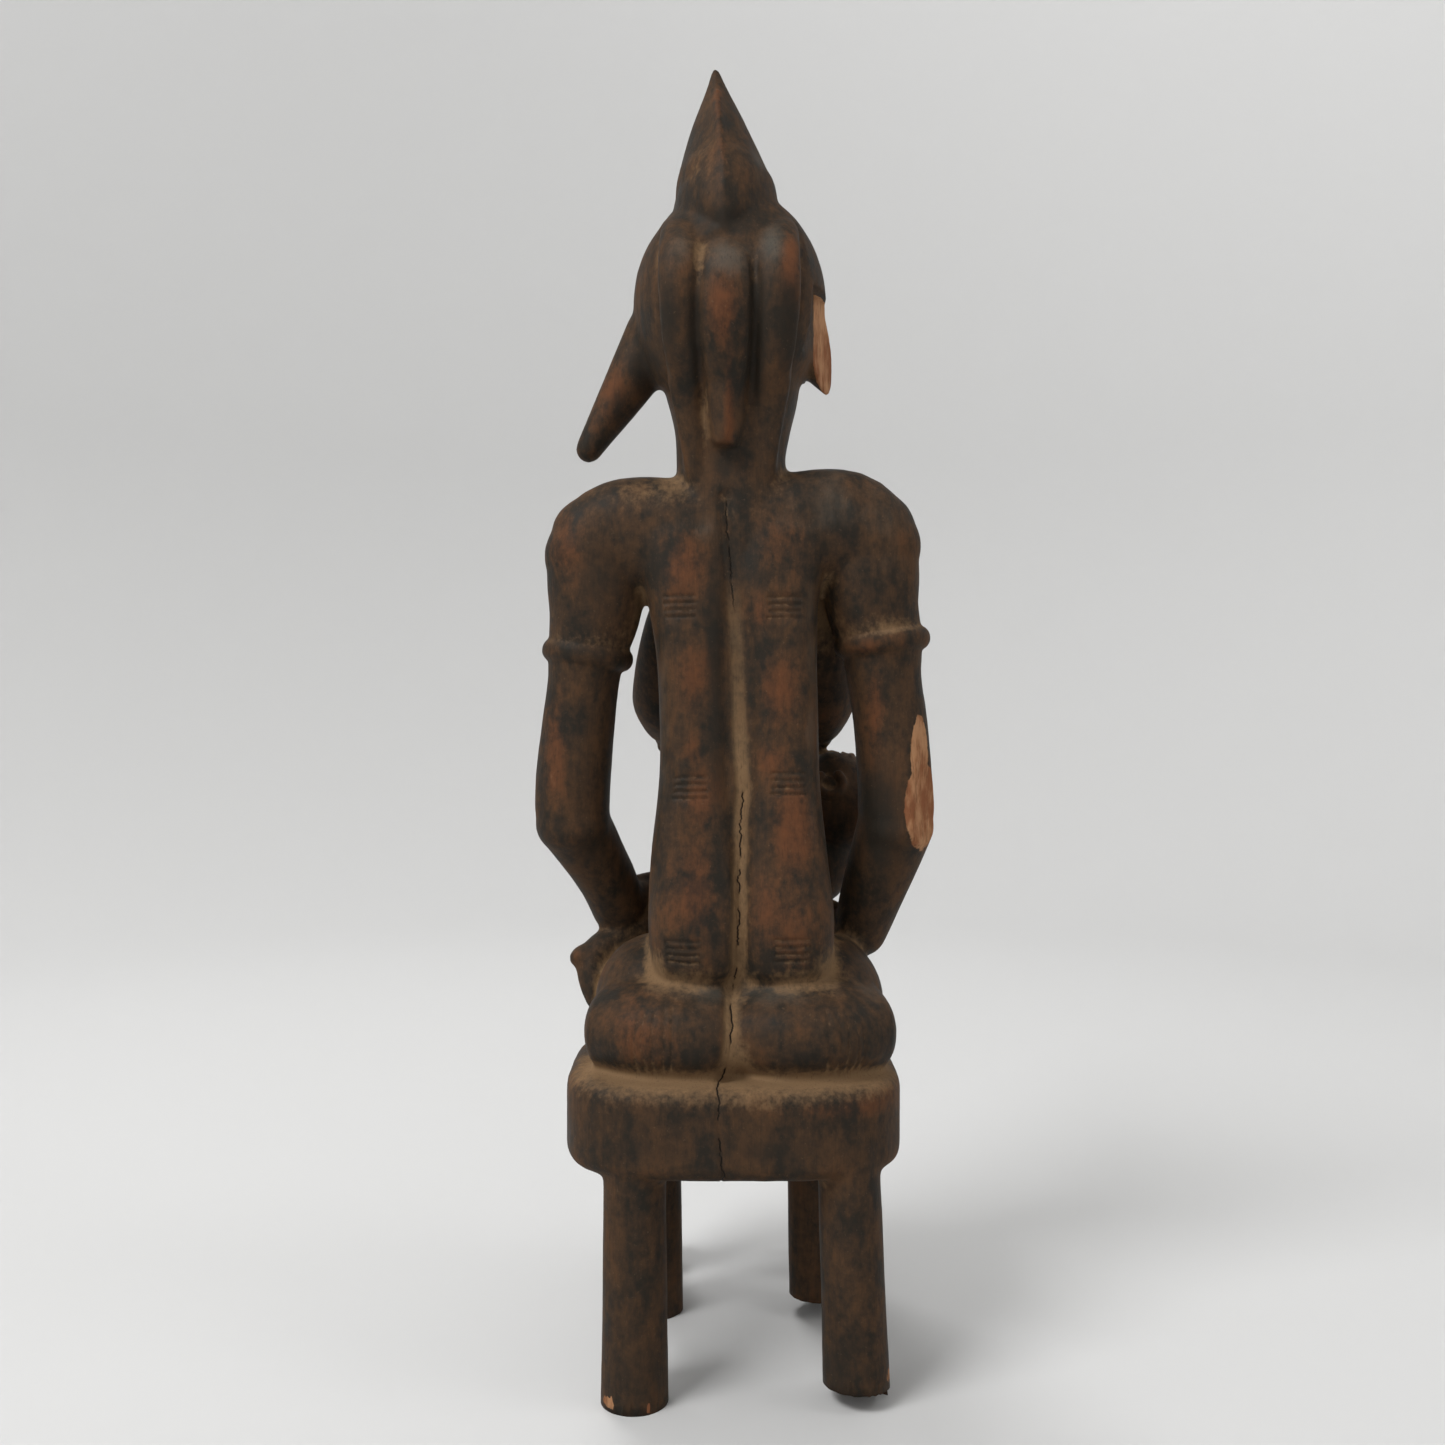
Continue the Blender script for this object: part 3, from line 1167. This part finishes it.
def thinned(figure, triangles):
    """Fewer triangles, most of them where the carving is finest."""
    count = sum(len(face.vertices) - 2 for face in figure.data.polygons)
    thin = figure.modifiers.new("thin", "DECIMATE")
    thin.ratio = triangles / count
    finished = evaluated(figure)
    figure.modifiers.clear()
    old = figure.data
    figure.data = finished
    bpy.data.meshes.remove(old)


def one_shell(figure):
    """Drop the crumbs that the cutters leave beside the carving."""
    bm = bmesh.new()
    bm.from_mesh(figure.data)
    seen = set()
    shells = []
    for start in bm.verts:
        if start in seen:
            continue
        seen.add(start)
        shell = [start]
        for vertex in shell:
            for edge in vertex.link_edges:
                other = edge.other_vert(vertex)
                if other not in seen:
                    seen.add(other)
                    shell.append(other)
        shells.append(shell)
    largest = max(shells, key=len)
    crumbs = [vertex for shell in shells if shell is not largest for vertex in shell]
    bmesh.ops.delete(bm, geom=crumbs, context="VERTS")
    bm.to_mesh(figure.data)
    bm.free()


# What the patina reads from the surface

def relaxed(places, edges, passes):
    """Places drawn towards their neighbours again and again."""
    ends = np.concatenate([edges[:, 0], edges[:, 1]])
    others = np.concatenate([edges[:, 1], edges[:, 0]])
    count = np.maximum(np.bincount(ends, minlength=len(places)), 1)
    for _ in range(passes):
        pulled = [np.bincount(ends, weights=places[others, axis], minlength=len(places)) / count
                  for axis in range(3)]
        places = places * 0.5 + np.stack(pulled, axis=1) * 0.5
    return places


def mesh_arrays(mesh):
    places = np.empty(len(mesh.vertices) * 3)
    mesh.vertices.foreach_get("co", places)
    normals = np.empty(len(mesh.vertices) * 3)
    mesh.vertices.foreach_get("normal", normals)
    edges = np.empty(len(mesh.edges) * 2, dtype=np.int64)
    mesh.edges.foreach_get("vertices", edges)
    return places.reshape(-1, 3), normals.reshape(-1, 3), edges.reshape(-1, 2)


def keep_layer(mesh, name, values):
    layer = mesh.attributes.get(name) or mesh.attributes.new(name, "FLOAT", "POINT")
    layer.data.foreach_set("value", np.clip(values, 0, 1).astype(np.float32))


def mark_curvature(mesh):
    """How far each place stands proud of, or lies below, its softened surroundings."""
    places, normals, edges = mesh_arrays(mesh)
    soft = relaxed(places, edges, 60)
    proud = np.einsum("ij,ij->i", places - soft, normals)
    keep_layer(mesh, "proud", proud / 0.0009)
    keep_layer(mesh, "sunk", -proud / 0.0007)


def mark_ridges(mesh):
    """The same on a larger scale, on the thinned surface."""
    places, normals, edges = mesh_arrays(mesh)
    soft = relaxed(places, edges, 45)
    keep_layer(mesh, "ridge", np.einsum("ij,ij->i", places - soft, normals) / 0.0022)


def mark_handling(mesh):
    """Spots of wear, dust, bloom and black on the back, and the groove's dust."""
    places, normals, _ = mesh_arrays(mesh)
    x, y, z = ((places - np.array([MIDDLE.x, MIDDLE.y, SEAT_TOP])) / SHARE).T
    behind = np.clip((y + 6) / 10, 0, 1) * np.clip(normals[:, 1] * 1.6 + 0.9, 0, 1)
    for name, spots in (("rubbed", RUBBED), ("dusted", DUSTED), ("greyed", GREYED),
                        ("darkened", DARKENED)):
        level = np.zeros(len(places))
        for middle, height, across, up, strength in spots:
            far = ((x - middle) / across) ** 2 + ((z - height) / up) ** 2
            level = np.maximum(level, strength * np.exp(-0.5 * far))
        keep_layer(mesh, name, level * behind)
    rows = sorted((height, across) for across, height in CRACK)
    line = np.interp(z, [row[0] for row in rows], [row[1] for row in rows])
    groove = np.exp(-0.5 * ((x - line) / 2.3) ** 4) * behind
    groove *= np.clip((z - 1) / 6, 0, 1) * np.clip((186 - z) / 14, 0, 1)
    groove *= 1 - 0.55 * np.clip((z - 118) / 35, 0, 1)
    keep_layer(mesh, "groove", groove)


# Where the right arm's patina is gone: x, z, half width, half height, in shares
BARE_ARM = [(-74.2, 99, 7.3, 17.5), (-73.2, 119, 3.9, 16)]
# Chips at the feet: the same
BARE_FEET = [(45.5, -115.5, 2.4, 1.3), (31.5, -116.3, 2.0, 1.0), (-57.0, -107.5, 1.3, 2.2)]


def mark_bare(mesh):
    """Places where pale wood shows: the tress's break, the right arm's scar, the feet's chips."""
    places, normals, _ = mesh_arrays(mesh)
    bare = np.zeros(len(places))
    for _, place, facing, size, _, shows in breaks():
        if shows:
            facing = np.array(Vector(facing).normalized())
            away = places - np.array(place)
            near = np.clip(1.2 - np.abs(away @ facing) / 0.0015, 0, 1)
            near *= np.clip((normals @ facing - 0.1) / 0.5, 0, 1)
            near *= np.clip((4.6 - away[:, 0] / SHARE) / 2, 0, 1)
            bare = np.maximum(bare, near * (np.linalg.norm(away, axis=1) < size * 0.72))
    x, y, z = ((places - np.array([MIDDLE.x, MIDDLE.y, SEAT_TOP])) / SHARE).T
    field = np.max([1 - ((x - across) / half) ** 2 - ((z - height) / up) ** 2
                    for across, height, half, up in BARE_ARM + BARE_FEET], axis=0)
    field = np.clip(0.5 + field * 0.7, 0, 1) * (y > -4) * (normals[:, 1] > -0.3)
    keep_layer(mesh, "bare", np.maximum(bare, field))


def ray_fan(count):
    """Directions spread evenly over a half sphere about +Z."""
    golden = math.pi * (3 - math.sqrt(5))
    fan = []
    for step in range(count):
        height = 0.12 + 0.86 * (step + 0.5) / count
        ring = math.sqrt(1 - height * height)
        fan.append(Vector((ring * math.cos(golden * step), ring * math.sin(golden * step), height)))
    return fan


def mark_hollows(figure, reach, count):
    """How shut in each place is: the share of short rays that meet the carving."""
    tree = surface_of(figure)
    fan = ray_fan(count)
    shut = np.zeros(len(figure.data.vertices))
    for vertex in figure.data.vertices:
        turn = vertex.normal.to_track_quat("Z", "Y").to_matrix()
        start = vertex.co + vertex.normal * 0.0003
        met = 0.0
        for direction in fan:
            _, _, _, distance = tree.ray_cast(start, turn @ direction, reach)
            if distance is not None:
                met += 1.0 - 0.6 * distance / reach
        shut[vertex.index] = met / count
    keep_layer(figure.data, "shut", shut)


# Finish

def stretched(graph, place, factors):
    return graph.node("ShaderNodeVectorMath", {"operation": "MULTIPLY"}, {0: place, 1: factors})


def cloudy(graph, place, scale, detail, low, high):
    """Patches of noise as a mask from 0 to 1."""
    level = graph.node("ShaderNodeTexNoise", {}, {
        "Vector": place, "Scale": scale, "Detail": detail, "Roughness": 0.6})
    return graph.node("ShaderNodeMapRange", {"interpolation_type": "SMOOTHSTEP"}, {
        0: level, 1: low, 2: high, 3: 0.0, 4: 1.0})


def mixed(graph, mask, first, second, blend="MIX"):
    first = first if isinstance(first, Wire) else (*first, 1.0)
    second = second if isinstance(second, Wire) else (*second, 1.0)
    return graph.node("ShaderNodeMix", {"data_type": "RGBA", "blend_type": blend}, {
        0: mask, 6: first, 7: second}, out=2)


def layer_of(graph, name):
    return graph.node("ShaderNodeAttribute", {"attribute_name": name}, out=2)


def between(graph, level, low, high):
    """A soft mask that rises from 0 at low to 1 at high."""
    return graph.node("ShaderNodeMapRange", {"interpolation_type": "SMOOTHSTEP"}, {
        0: level, 1: low, 2: high, 3: 0.0, 4: 1.0})


def crack_mask(graph, across, deep, height):
    """A thin wavering line down the back, along the same places as the cut crack."""
    def rise(share):
        return SEAT_TOP + share * SHARE

    span = CRACK_TOP - CRACK_FOOT
    share = (height - rise(CRACK_FOOT)) / (span * SHARE)
    curve = graph.tree.nodes.new("ShaderNodeFloatCurve")
    points = curve.mapping.curves[0].points
    rows = sorted(((z - CRACK_FOOT) / span, 0.5 + x / 40) for x, z in CRACK)
    while len(points) < len(rows):
        points.new(0.5, 0.5)
    for point, (place, level) in zip(points, rows):
        point.location = (place, level)
        point.handle_type = "VECTOR"
    curve.mapping.update()
    graph.tree.links.new(share.socket, curve.inputs["Value"])
    line = (Wire(graph, curve.outputs[0]) - 0.5) * (40 * SHARE) + MIDDLE.x
    fine = graph.node("ShaderNodeTexNoise", {"noise_dimensions": "1D"}, {
        "W": height, "Scale": 190.0, "Detail": 4.0, "Roughness": 0.7})
    line = line + (fine - 0.5) * 0.0028
    away = graph.node("ShaderNodeMath", {"operation": "ABSOLUTE"}, {0: across - line})
    width = graph.node("ShaderNodeTexNoise", {"noise_dimensions": "1D"}, {
        "W": height + 3.0, "Scale": 90.0, "Detail": 2.0})
    thin = between(graph, away, 0.00042, 0.00014)
    broken = between(graph, width, 0.40, 0.50)
    upper = between(graph, height, rise(172), rise(182))
    lower = between(graph, height, rise(118), rise(110))
    behind = between(graph, deep, MIDDLE.y, MIDDLE.y + 0.004)
    for end, inner in ((CRACK_TOP, CRACK_TOP - 3), (CRACK_FOOT, CRACK_FOOT + 3)):
        behind = behind * between(graph, height, rise(end), rise(inner))
    return thin * broken * graph.node("ShaderNodeMath", {"operation": "MAXIMUM"}, {
        0: upper, 1: lower}) * behind


def wood_shader(name):
    material = bpy.data.materials.new(name)
    material.use_nodes = True
    graph = Graph(material.node_tree)
    shader = material.node_tree.nodes["Principled BSDF"]
    place = graph.node("ShaderNodeTexCoord", out=3)
    return material, graph, shader, place


def connect(graph, wire, shader, socket):
    graph.tree.links.new(wire.socket, shader.inputs[socket])


def patinated_wood(patina):
    """Old wood: dark and brown in streaks, red where rubbed, tan dust where shut in."""
    material, graph, shader, place = wood_shader("patinated_wood")
    across, deep, height = (graph.node("ShaderNodeSeparateXYZ", {}, {0: place}, out=axis)
                            for axis in range(3))
    facing = graph.node("ShaderNodeNewGeometry", out=1)
    upward = graph.node("ShaderNodeSeparateXYZ", {}, {0: facing}, out=2)
    proud, sunk, shut, cut, ridge, rubbed, dusted, greyed, darkened, groove = (
        layer_of(graph, name) for name in ("proud", "sunk", "shut", "cut", "ridge", "rubbed", "dusted",
                                           "greyed", "darkened", "groove"))

    def grain(scale, along, detail=4.0):
        """Noise drawn out along the block's grain, about 0 either way."""
        level = graph.node("ShaderNodeTexNoise", {}, {
            "Vector": stretched(graph, place, (1.0, 1.0, along)), "Scale": scale, "Detail": detail,
            "Roughness": 0.62})
        return level - 0.5

    fibre = grain(1500.0, 0.10, 3.0)
    streak = grain(260.0, 0.30)
    patch = grain(75.0, 0.65, 7.0)
    drift = grain(36.0, 0.8, 6.0)
    fleck = grain(380.0, 0.85, 6.0)
    bare = between(graph, layer_of(graph, "bare") + fleck * 0.35 + streak * 0.30, 0.47, 0.55)
    speck = cloudy(graph, place, 900.0, 2.0, 0.63, 0.78)

    colour = mixed(graph, between(graph, patch * 1.3 + streak * 0.5 + fleck * 0.7 + 0.5, 0.22, 0.78),
                   patina.dark, patina.brown)
    level = rubbed * 0.88 + ridge * 0.24 + proud * 0.14 + patch * 1.6 + streak * 0.6 + fleck * 0.8
    level = level - shut * 0.5
    colour = mixed(graph, between(graph, level, 0.20, 1.25) * 0.88, colour, patina.red)
    level = darkened * 0.9 + drift * 1.1 + streak * 0.5
    colour = mixed(graph, between(graph, level, 0.22, 0.85) * 0.85, colour, patina.dark)
    level = upward * 0.34 + greyed * 0.62 + drift * 1.0 + patch * 0.7 - rubbed * 0.2
    bloom = between(graph, level, 0.24, 0.95) * 0.72
    colour = mixed(graph, bloom, colour, patina.sheen)

    level = shut * 1.25 + sunk * 0.20 + dusted * 0.65 + cut * 0.30 + upward * 0.10
    level = level + fleck * 0.8 + patch * 0.6 - darkened * 0.7
    dusty = between(graph, level, 0.22, 0.90) * 0.85
    dusty = graph.node("ShaderNodeMath", {"operation": "MAXIMUM"}, {
        0: dusty, 1: groove * (0.80 + fleck * 1.1)})
    colour = mixed(graph, dusty, colour, patina.dust)
    colour = mixed(graph, speck * 0.18, colour, patina.dust)
    colour = mixed(graph, between(graph, fibre, 0.02, 0.22) * 0.35, colour, patina.dark)

    crack = crack_mask(graph, across, deep, height)
    colour = mixed(graph, crack, colour, CRACK_COLOUR)
    pale = mixed(graph, between(graph, patch * 1.2 + streak * 1.0, -0.22, 0.20), patina.raw,
                 RAW_STREAK)
    pale = mixed(graph, between(graph, fibre, 0.0, 0.20) * 0.5, pale, patina.brown)
    colour = mixed(graph, bare, colour, pale)
    connect(graph, colour, shader, "Base Color")

    connect(graph, 0.60 + dusty * 0.30 + patch * 0.5 - bloom * 0.08 + bare * 0.25, shader, "Roughness")
    shader.inputs["Specular IOR Level"].default_value = WOOD_SPECULAR
    relief = fibre * 0.6 + streak * 0.5 + speck * 0.15 - crack * 3.0 - dusty * 0.2
    bump = graph.node("ShaderNodeBump", {}, {"Strength": 0.55, "Distance": 0.00035, "Height": relief})
    connect(graph, bump, shader, "Normal")
    return material


# Operators

class FIGURE_OT_stool(Operator):
    """Rough out the stool's seat and four legs"""

    bl_idname = "figure.stool"
    bl_label = "Rough Out Stool"

    def execute(self, context):
        bm = bmesh.new()
        add_seat(bm)
        for name in LEGS:
            add_leg(bm, name)
        new_object("rough_stool", bm, working_collection("Rough forms"))
        return {"FINISHED"}


class FIGURE_OT_mother(Operator):
    """Rough out the mother's body, arms and legs"""

    bl_idname = "figure.mother"
    bl_label = "Rough Out Mother"

    def execute(self, context):
        bm = bmesh.new()
        for add in (add_torso, add_belly, add_buttocks, add_thighs, add_shins, add_shoulders,
                    add_palms, add_breasts):
            add(bm)
        for side in (1, -1):
            add_arm(bm, side)
        new_object("rough_mother", bm, working_collection("Rough forms"))
        bm = bmesh.new()
        for add in (add_armlets, add_fingers, add_nipples_and_navel, add_knees_and_ankles):
            add(bm)
        new_object("fine_mother", bm, working_collection("Fine forms"))
        return {"FINISHED"}


class FIGURE_OT_head(Operator):
    """Rough out the mother's head, hair, crest and tresses"""

    bl_idname = "figure.head"
    bl_label = "Rough Out Head"

    def execute(self, context):
        bm = bmesh.new()
        for add in (add_neck, add_face, add_hair, add_braid, add_crest, add_tresses):
            add(bm)
        new_object("rough_head", bm, working_collection("Rough forms"))
        bm = bmesh.new()
        add_features(bm)
        new_object("fine_head", bm, working_collection("Fine forms"))
        return {"FINISHED"}


class FIGURE_OT_child(Operator):
    """Rough out the child on the lap"""

    bl_idname = "figure.child"
    bl_label = "Rough Out Child"

    def execute(self, context):
        bm = bmesh.new()
        add_child(bm)
        new_object("rough_child", bm, working_collection("Rough forms"))
        bm = bmesh.new()
        add_child_features(bm)
        new_object("fine_child", bm, working_collection("Fine forms"))
        return {"FINISHED"}


class FIGURE_OT_carve(Operator):
    """Join the rough forms into one block, then carve, break and finish it"""

    bl_idname = "figure.carve"
    bl_label = "Carve Figure"

    def execute(self, context):
        sizes = context.scene.carving
        patina = context.scene.patina
        if not working_collection("Rough forms").objects:
            raise RuntimeError("rough out the forms first")
        wood = patinated_wood(patina)
        figure = joined(PIECE, working_collection("Rough forms"), sizes.rough_grid, 8)
        carve(figure, snapped(socket_strokes(), surface_of(figure)), wood, 6.0, 2.4)
        carve(figure, snapped(hair_strokes(), surface_of(figure)), wood, 3.0, 0.9, mark=0.2)
        spine = lay_on_back(spine_stroke(2, CRACK_TOP), surface_of(figure))
        carve(figure, spine, wood, sizes.spine_width / SHARE, sizes.spine_depth / SHARE, flat=1.8)
        figure = joined(PIECE, working_collection("Fine forms"), sizes.fine_grid, 4, start=figure)
        run_tree(figure, knife_tree(), {"Unevenness": sizes.unevenness, "Material": wood})
        self.cut_details(figure, wood, sizes)
        mark_curvature(figure.data)
        break_off(figure)
        thinned(figure, sizes.triangles)
        one_shell(figure)
        mark_ridges(figure.data)
        mark_hollows(figure, HOLLOW_REACH, HOLLOW_RAYS)
        mark_handling(figure.data)
        mark_bare(figure.data)
        figure.data.shade_smooth()
        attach(figure, "root")
        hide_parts(NODE)
        return {"FINISHED"}

    def cut_details(self, figure, wood, sizes):
        surface = surface_of(figure)
        back = [(20.9, 27, 176), (-19.7, 27, 175.6), (16.4, 29, 107.3), (-21.0, 29, 108.8),
                (19.2, 36, 46.5), (-21.9, 36, 47.2)]
        scars = scar_rows("scars", back, [(0, 0, 0)] * len(back), figure, {
            "Count": sizes.scar_count, "Spacing": sizes.scar_spacing, "Length": sizes.scar_length,
            "Wander": 0.0002, "Seed": 3, "Material": wood})
        seat_scars = scar_rows("seat_scars", [(-37.7, 35, 13.0), (27.1, 36, 13.4)],
                               [(0, 90, 0), (0, 90, 0)], figure, {
            "Count": 5, "Spacing": sizes.scar_spacing, "Length": 0.009, "Wander": 0.0002,
            "Seed": 5, "Material": wood})
        cheeks = [(FACE_X + side * 17.5, face_y(17.5, 268), 268) for side in (1, -1)]
        face_scars = scar_rows("face_scars", cheeks, [(0, 0, 38), (0, 0, -38)], figure, {
            "Count": 3, "Spacing": 0.0024, "Length": 0.007, "Wander": 0.0001, "Seed": 9,
            "Material": wood})
        navel = [(-12, -29, 71), (7.4, -29, 71)]
        navel_scars = scar_rows("navel_scars", navel, [(0, 0, 18), (0, 0, -18)], figure, {
            "Count": 3, "Spacing": 0.0030, "Length": 0.008, "Wander": 0.0001, "Seed": 11,
            "Material": wood})
        depth = sizes.scar_depth / SHARE
        carve(figure, scars, wood, 0.95, depth, rough=0.3)
        carve(figure, seat_scars, wood, 0.9, depth * 0.6, rough=0.3)
        carve(figure, face_scars, wood, 0.9, depth * 0.8)
        carve(figure, navel_scars, wood, 0.9, depth * 0.8)
        carve(figure, snapped(lid_strokes(), surface), wood, 0.9, 0.8)
        carve(figure, snapped(mouth_strokes(), surface), wood, 1.0, 0.9)
        carve(figure, snapped(toe_strokes(), surface), wood, 1.2, 1.3)
        carve(figure, snapped(child_strokes(), surface), wood, 0.9, 0.8)
        surface = surface_of(figure)
        carve(figure, lay_on_back(spine_stroke(CRACK_FOOT, 118), surface), wood, 0.7, 0.45,
              rough=0.8, mark=0.0)
        carve(figure, lay_on_back(spine_stroke(182, CRACK_TOP), surface), wood, 0.8, 0.6,
              rough=0.6, mark=0.0)


class FIGURE_OT_stage(Operator):
    """Lay the pale floor, hang the soft lights and stand the camera behind the figure"""

    bl_idname = "figure.stage"
    bl_label = "Set Stage"

    def execute(self, context):
        settings = context.scene.stage_light
        self.floor(settings)
        self.lights(settings)
        self.camera(context)
        context.scene.view_settings.view_transform = "Standard"
        return {"FINISHED"}

    def floor(self, settings):
        """A flat disc whose rim curves up into a low wall."""
        flat, bend, wall = settings.floor_radius, 0.7, 1.0
        profile = [(0.0, 0.0), (flat * 0.5, 0.0), (flat, 0.0)]
        for step in range(1, 13):
            angle = math.radians(90 * step / 12)
            profile.append((flat + bend * math.sin(angle), bend * (1 - math.cos(angle))))
        profile.append((flat + bend, bend + wall))
        bm = bmesh.new()
        verts = [bm.verts.new((radius, 0, height)) for radius, height in profile]
        edges = [bm.edges.new(pair) for pair in zip(verts, verts[1:])]
        bmesh.ops.spin(bm, geom=verts + edges, axis=(0, 0, 1), cent=(0, 0, 0), dvec=(0, 0, 0),
                       angle=2 * math.pi, steps=96, use_merge=True)
        bmesh.ops.remove_doubles(bm, verts=bm.verts, dist=0.0001)
        bmesh.ops.recalc_face_normals(bm, faces=bm.faces)
        mesh = bpy.data.meshes.new("floor")
        bm.to_mesh(mesh)
        bm.free()
        mesh.shade_smooth()
        if mesh.polygons[0].normal.z < 0:
            mesh.flip_normals()
        material = bpy.data.materials.new("pale_floor")
        material.use_nodes = True
        shader = material.node_tree.nodes["Principled BSDF"]
        shader.inputs["Base Color"].default_value = (*settings.floor, 1)
        shader.inputs["Roughness"].default_value = 0.9
        mesh.materials.append(material)
        floor = bpy.data.objects.new("floor", mesh)
        bpy.context.scene.collection.objects.link(floor)
        return floor

    def lights(self, settings):
        aim = Vector((0, 0, 0.27))
        for name, place, size, power in (
                ("key_light", Vector((1.35, 1.25, 2.0)), 1.2, settings.key),
                ("front_light", Vector((0.8, -1.9, 1.9)), 1.4, settings.fill),
                ("side_light", Vector((-1.9, 0.6, 1.6)), 1.2, settings.fill * 0.30)):
            light = bpy.data.lights.new(name, "AREA")
            light.shape = "DISK"
            light.size = size
            light.energy = power
            lamp = bpy.data.objects.new(name, light)
            lamp.location = place
            lamp.rotation_euler = (place - aim).to_track_quat("Z", "Y").to_euler()
            lamp.visible_glossy = name != "front_light"
            bpy.context.scene.collection.objects.link(lamp)
        world = bpy.data.worlds.new("soft_sky")
        world.use_nodes = True
        background = world.node_tree.nodes["Background"]
        background.inputs["Color"].default_value = (1.0, 0.99, 0.975, 1)
        background.inputs["Strength"].default_value = settings.sky
        bpy.context.scene.world = world

    def camera(self, context):
        """The photograph's view: from behind, level, at the figure's middle height."""
        camera = bpy.data.cameras.new("camera")
        camera.sensor_width = 36
        camera.lens = CAMERA_LENS
        camera.clip_start = 0.01
        eye = bpy.data.objects.new("camera", camera)
        eye.location = (MIDDLE.x + CAMERA_ASIDE, MIDDLE.y + CAMERA_AWAY, CAMERA_HEIGHT)
        eye.rotation_euler = (math.radians(90), 0, math.radians(180))
        context.scene.collection.objects.link(eye)
        context.scene.camera = eye


class FIGURE_PT_panel(Panel):
    bl_label = "Maternity Figure"
    bl_idname = "FIGURE_PT_panel"
    bl_space_type = "VIEW_3D"
    bl_region_type = "UI"
    bl_category = "Figure"

    def draw(self, context):
        layout = self.layout
        for group in (context.scene.carving, context.scene.patina, context.scene.stage_light):
            box = layout.box()
            for name in group.__annotations__:
                box.prop(group, name)
        for operator in OPERATORS:
            layout.operator(operator.bl_idname)


SETTINGS = {"carving": CarvingSettings, "patina": PatinaSettings, "stage_light": StageSettings}
OPERATORS = (FIGURE_OT_stage, FIGURE_OT_stool, FIGURE_OT_mother, FIGURE_OT_head, FIGURE_OT_child,
             FIGURE_OT_carve)


def register():
    for settings in SETTINGS.values():
        bpy.utils.register_class(settings)
    for name, settings in SETTINGS.items():
        setattr(bpy.types.Scene, name, PointerProperty(type=settings))
    for operator in OPERATORS:
        bpy.utils.register_class(operator)
    bpy.utils.register_class(FIGURE_PT_panel)


def unregister():
    bpy.utils.unregister_class(FIGURE_PT_panel)
    for operator in reversed(OPERATORS):
        bpy.utils.unregister_class(operator)
    for name, settings in SETTINGS.items():
        delattr(bpy.types.Scene, name)
        bpy.utils.unregister_class(settings)


def main():
    register()
    for operator in OPERATORS:
        group, name = operator.bl_idname.split(".")
        getattr(getattr(bpy.ops, group), name)()


if __name__ == "__main__":
    main()
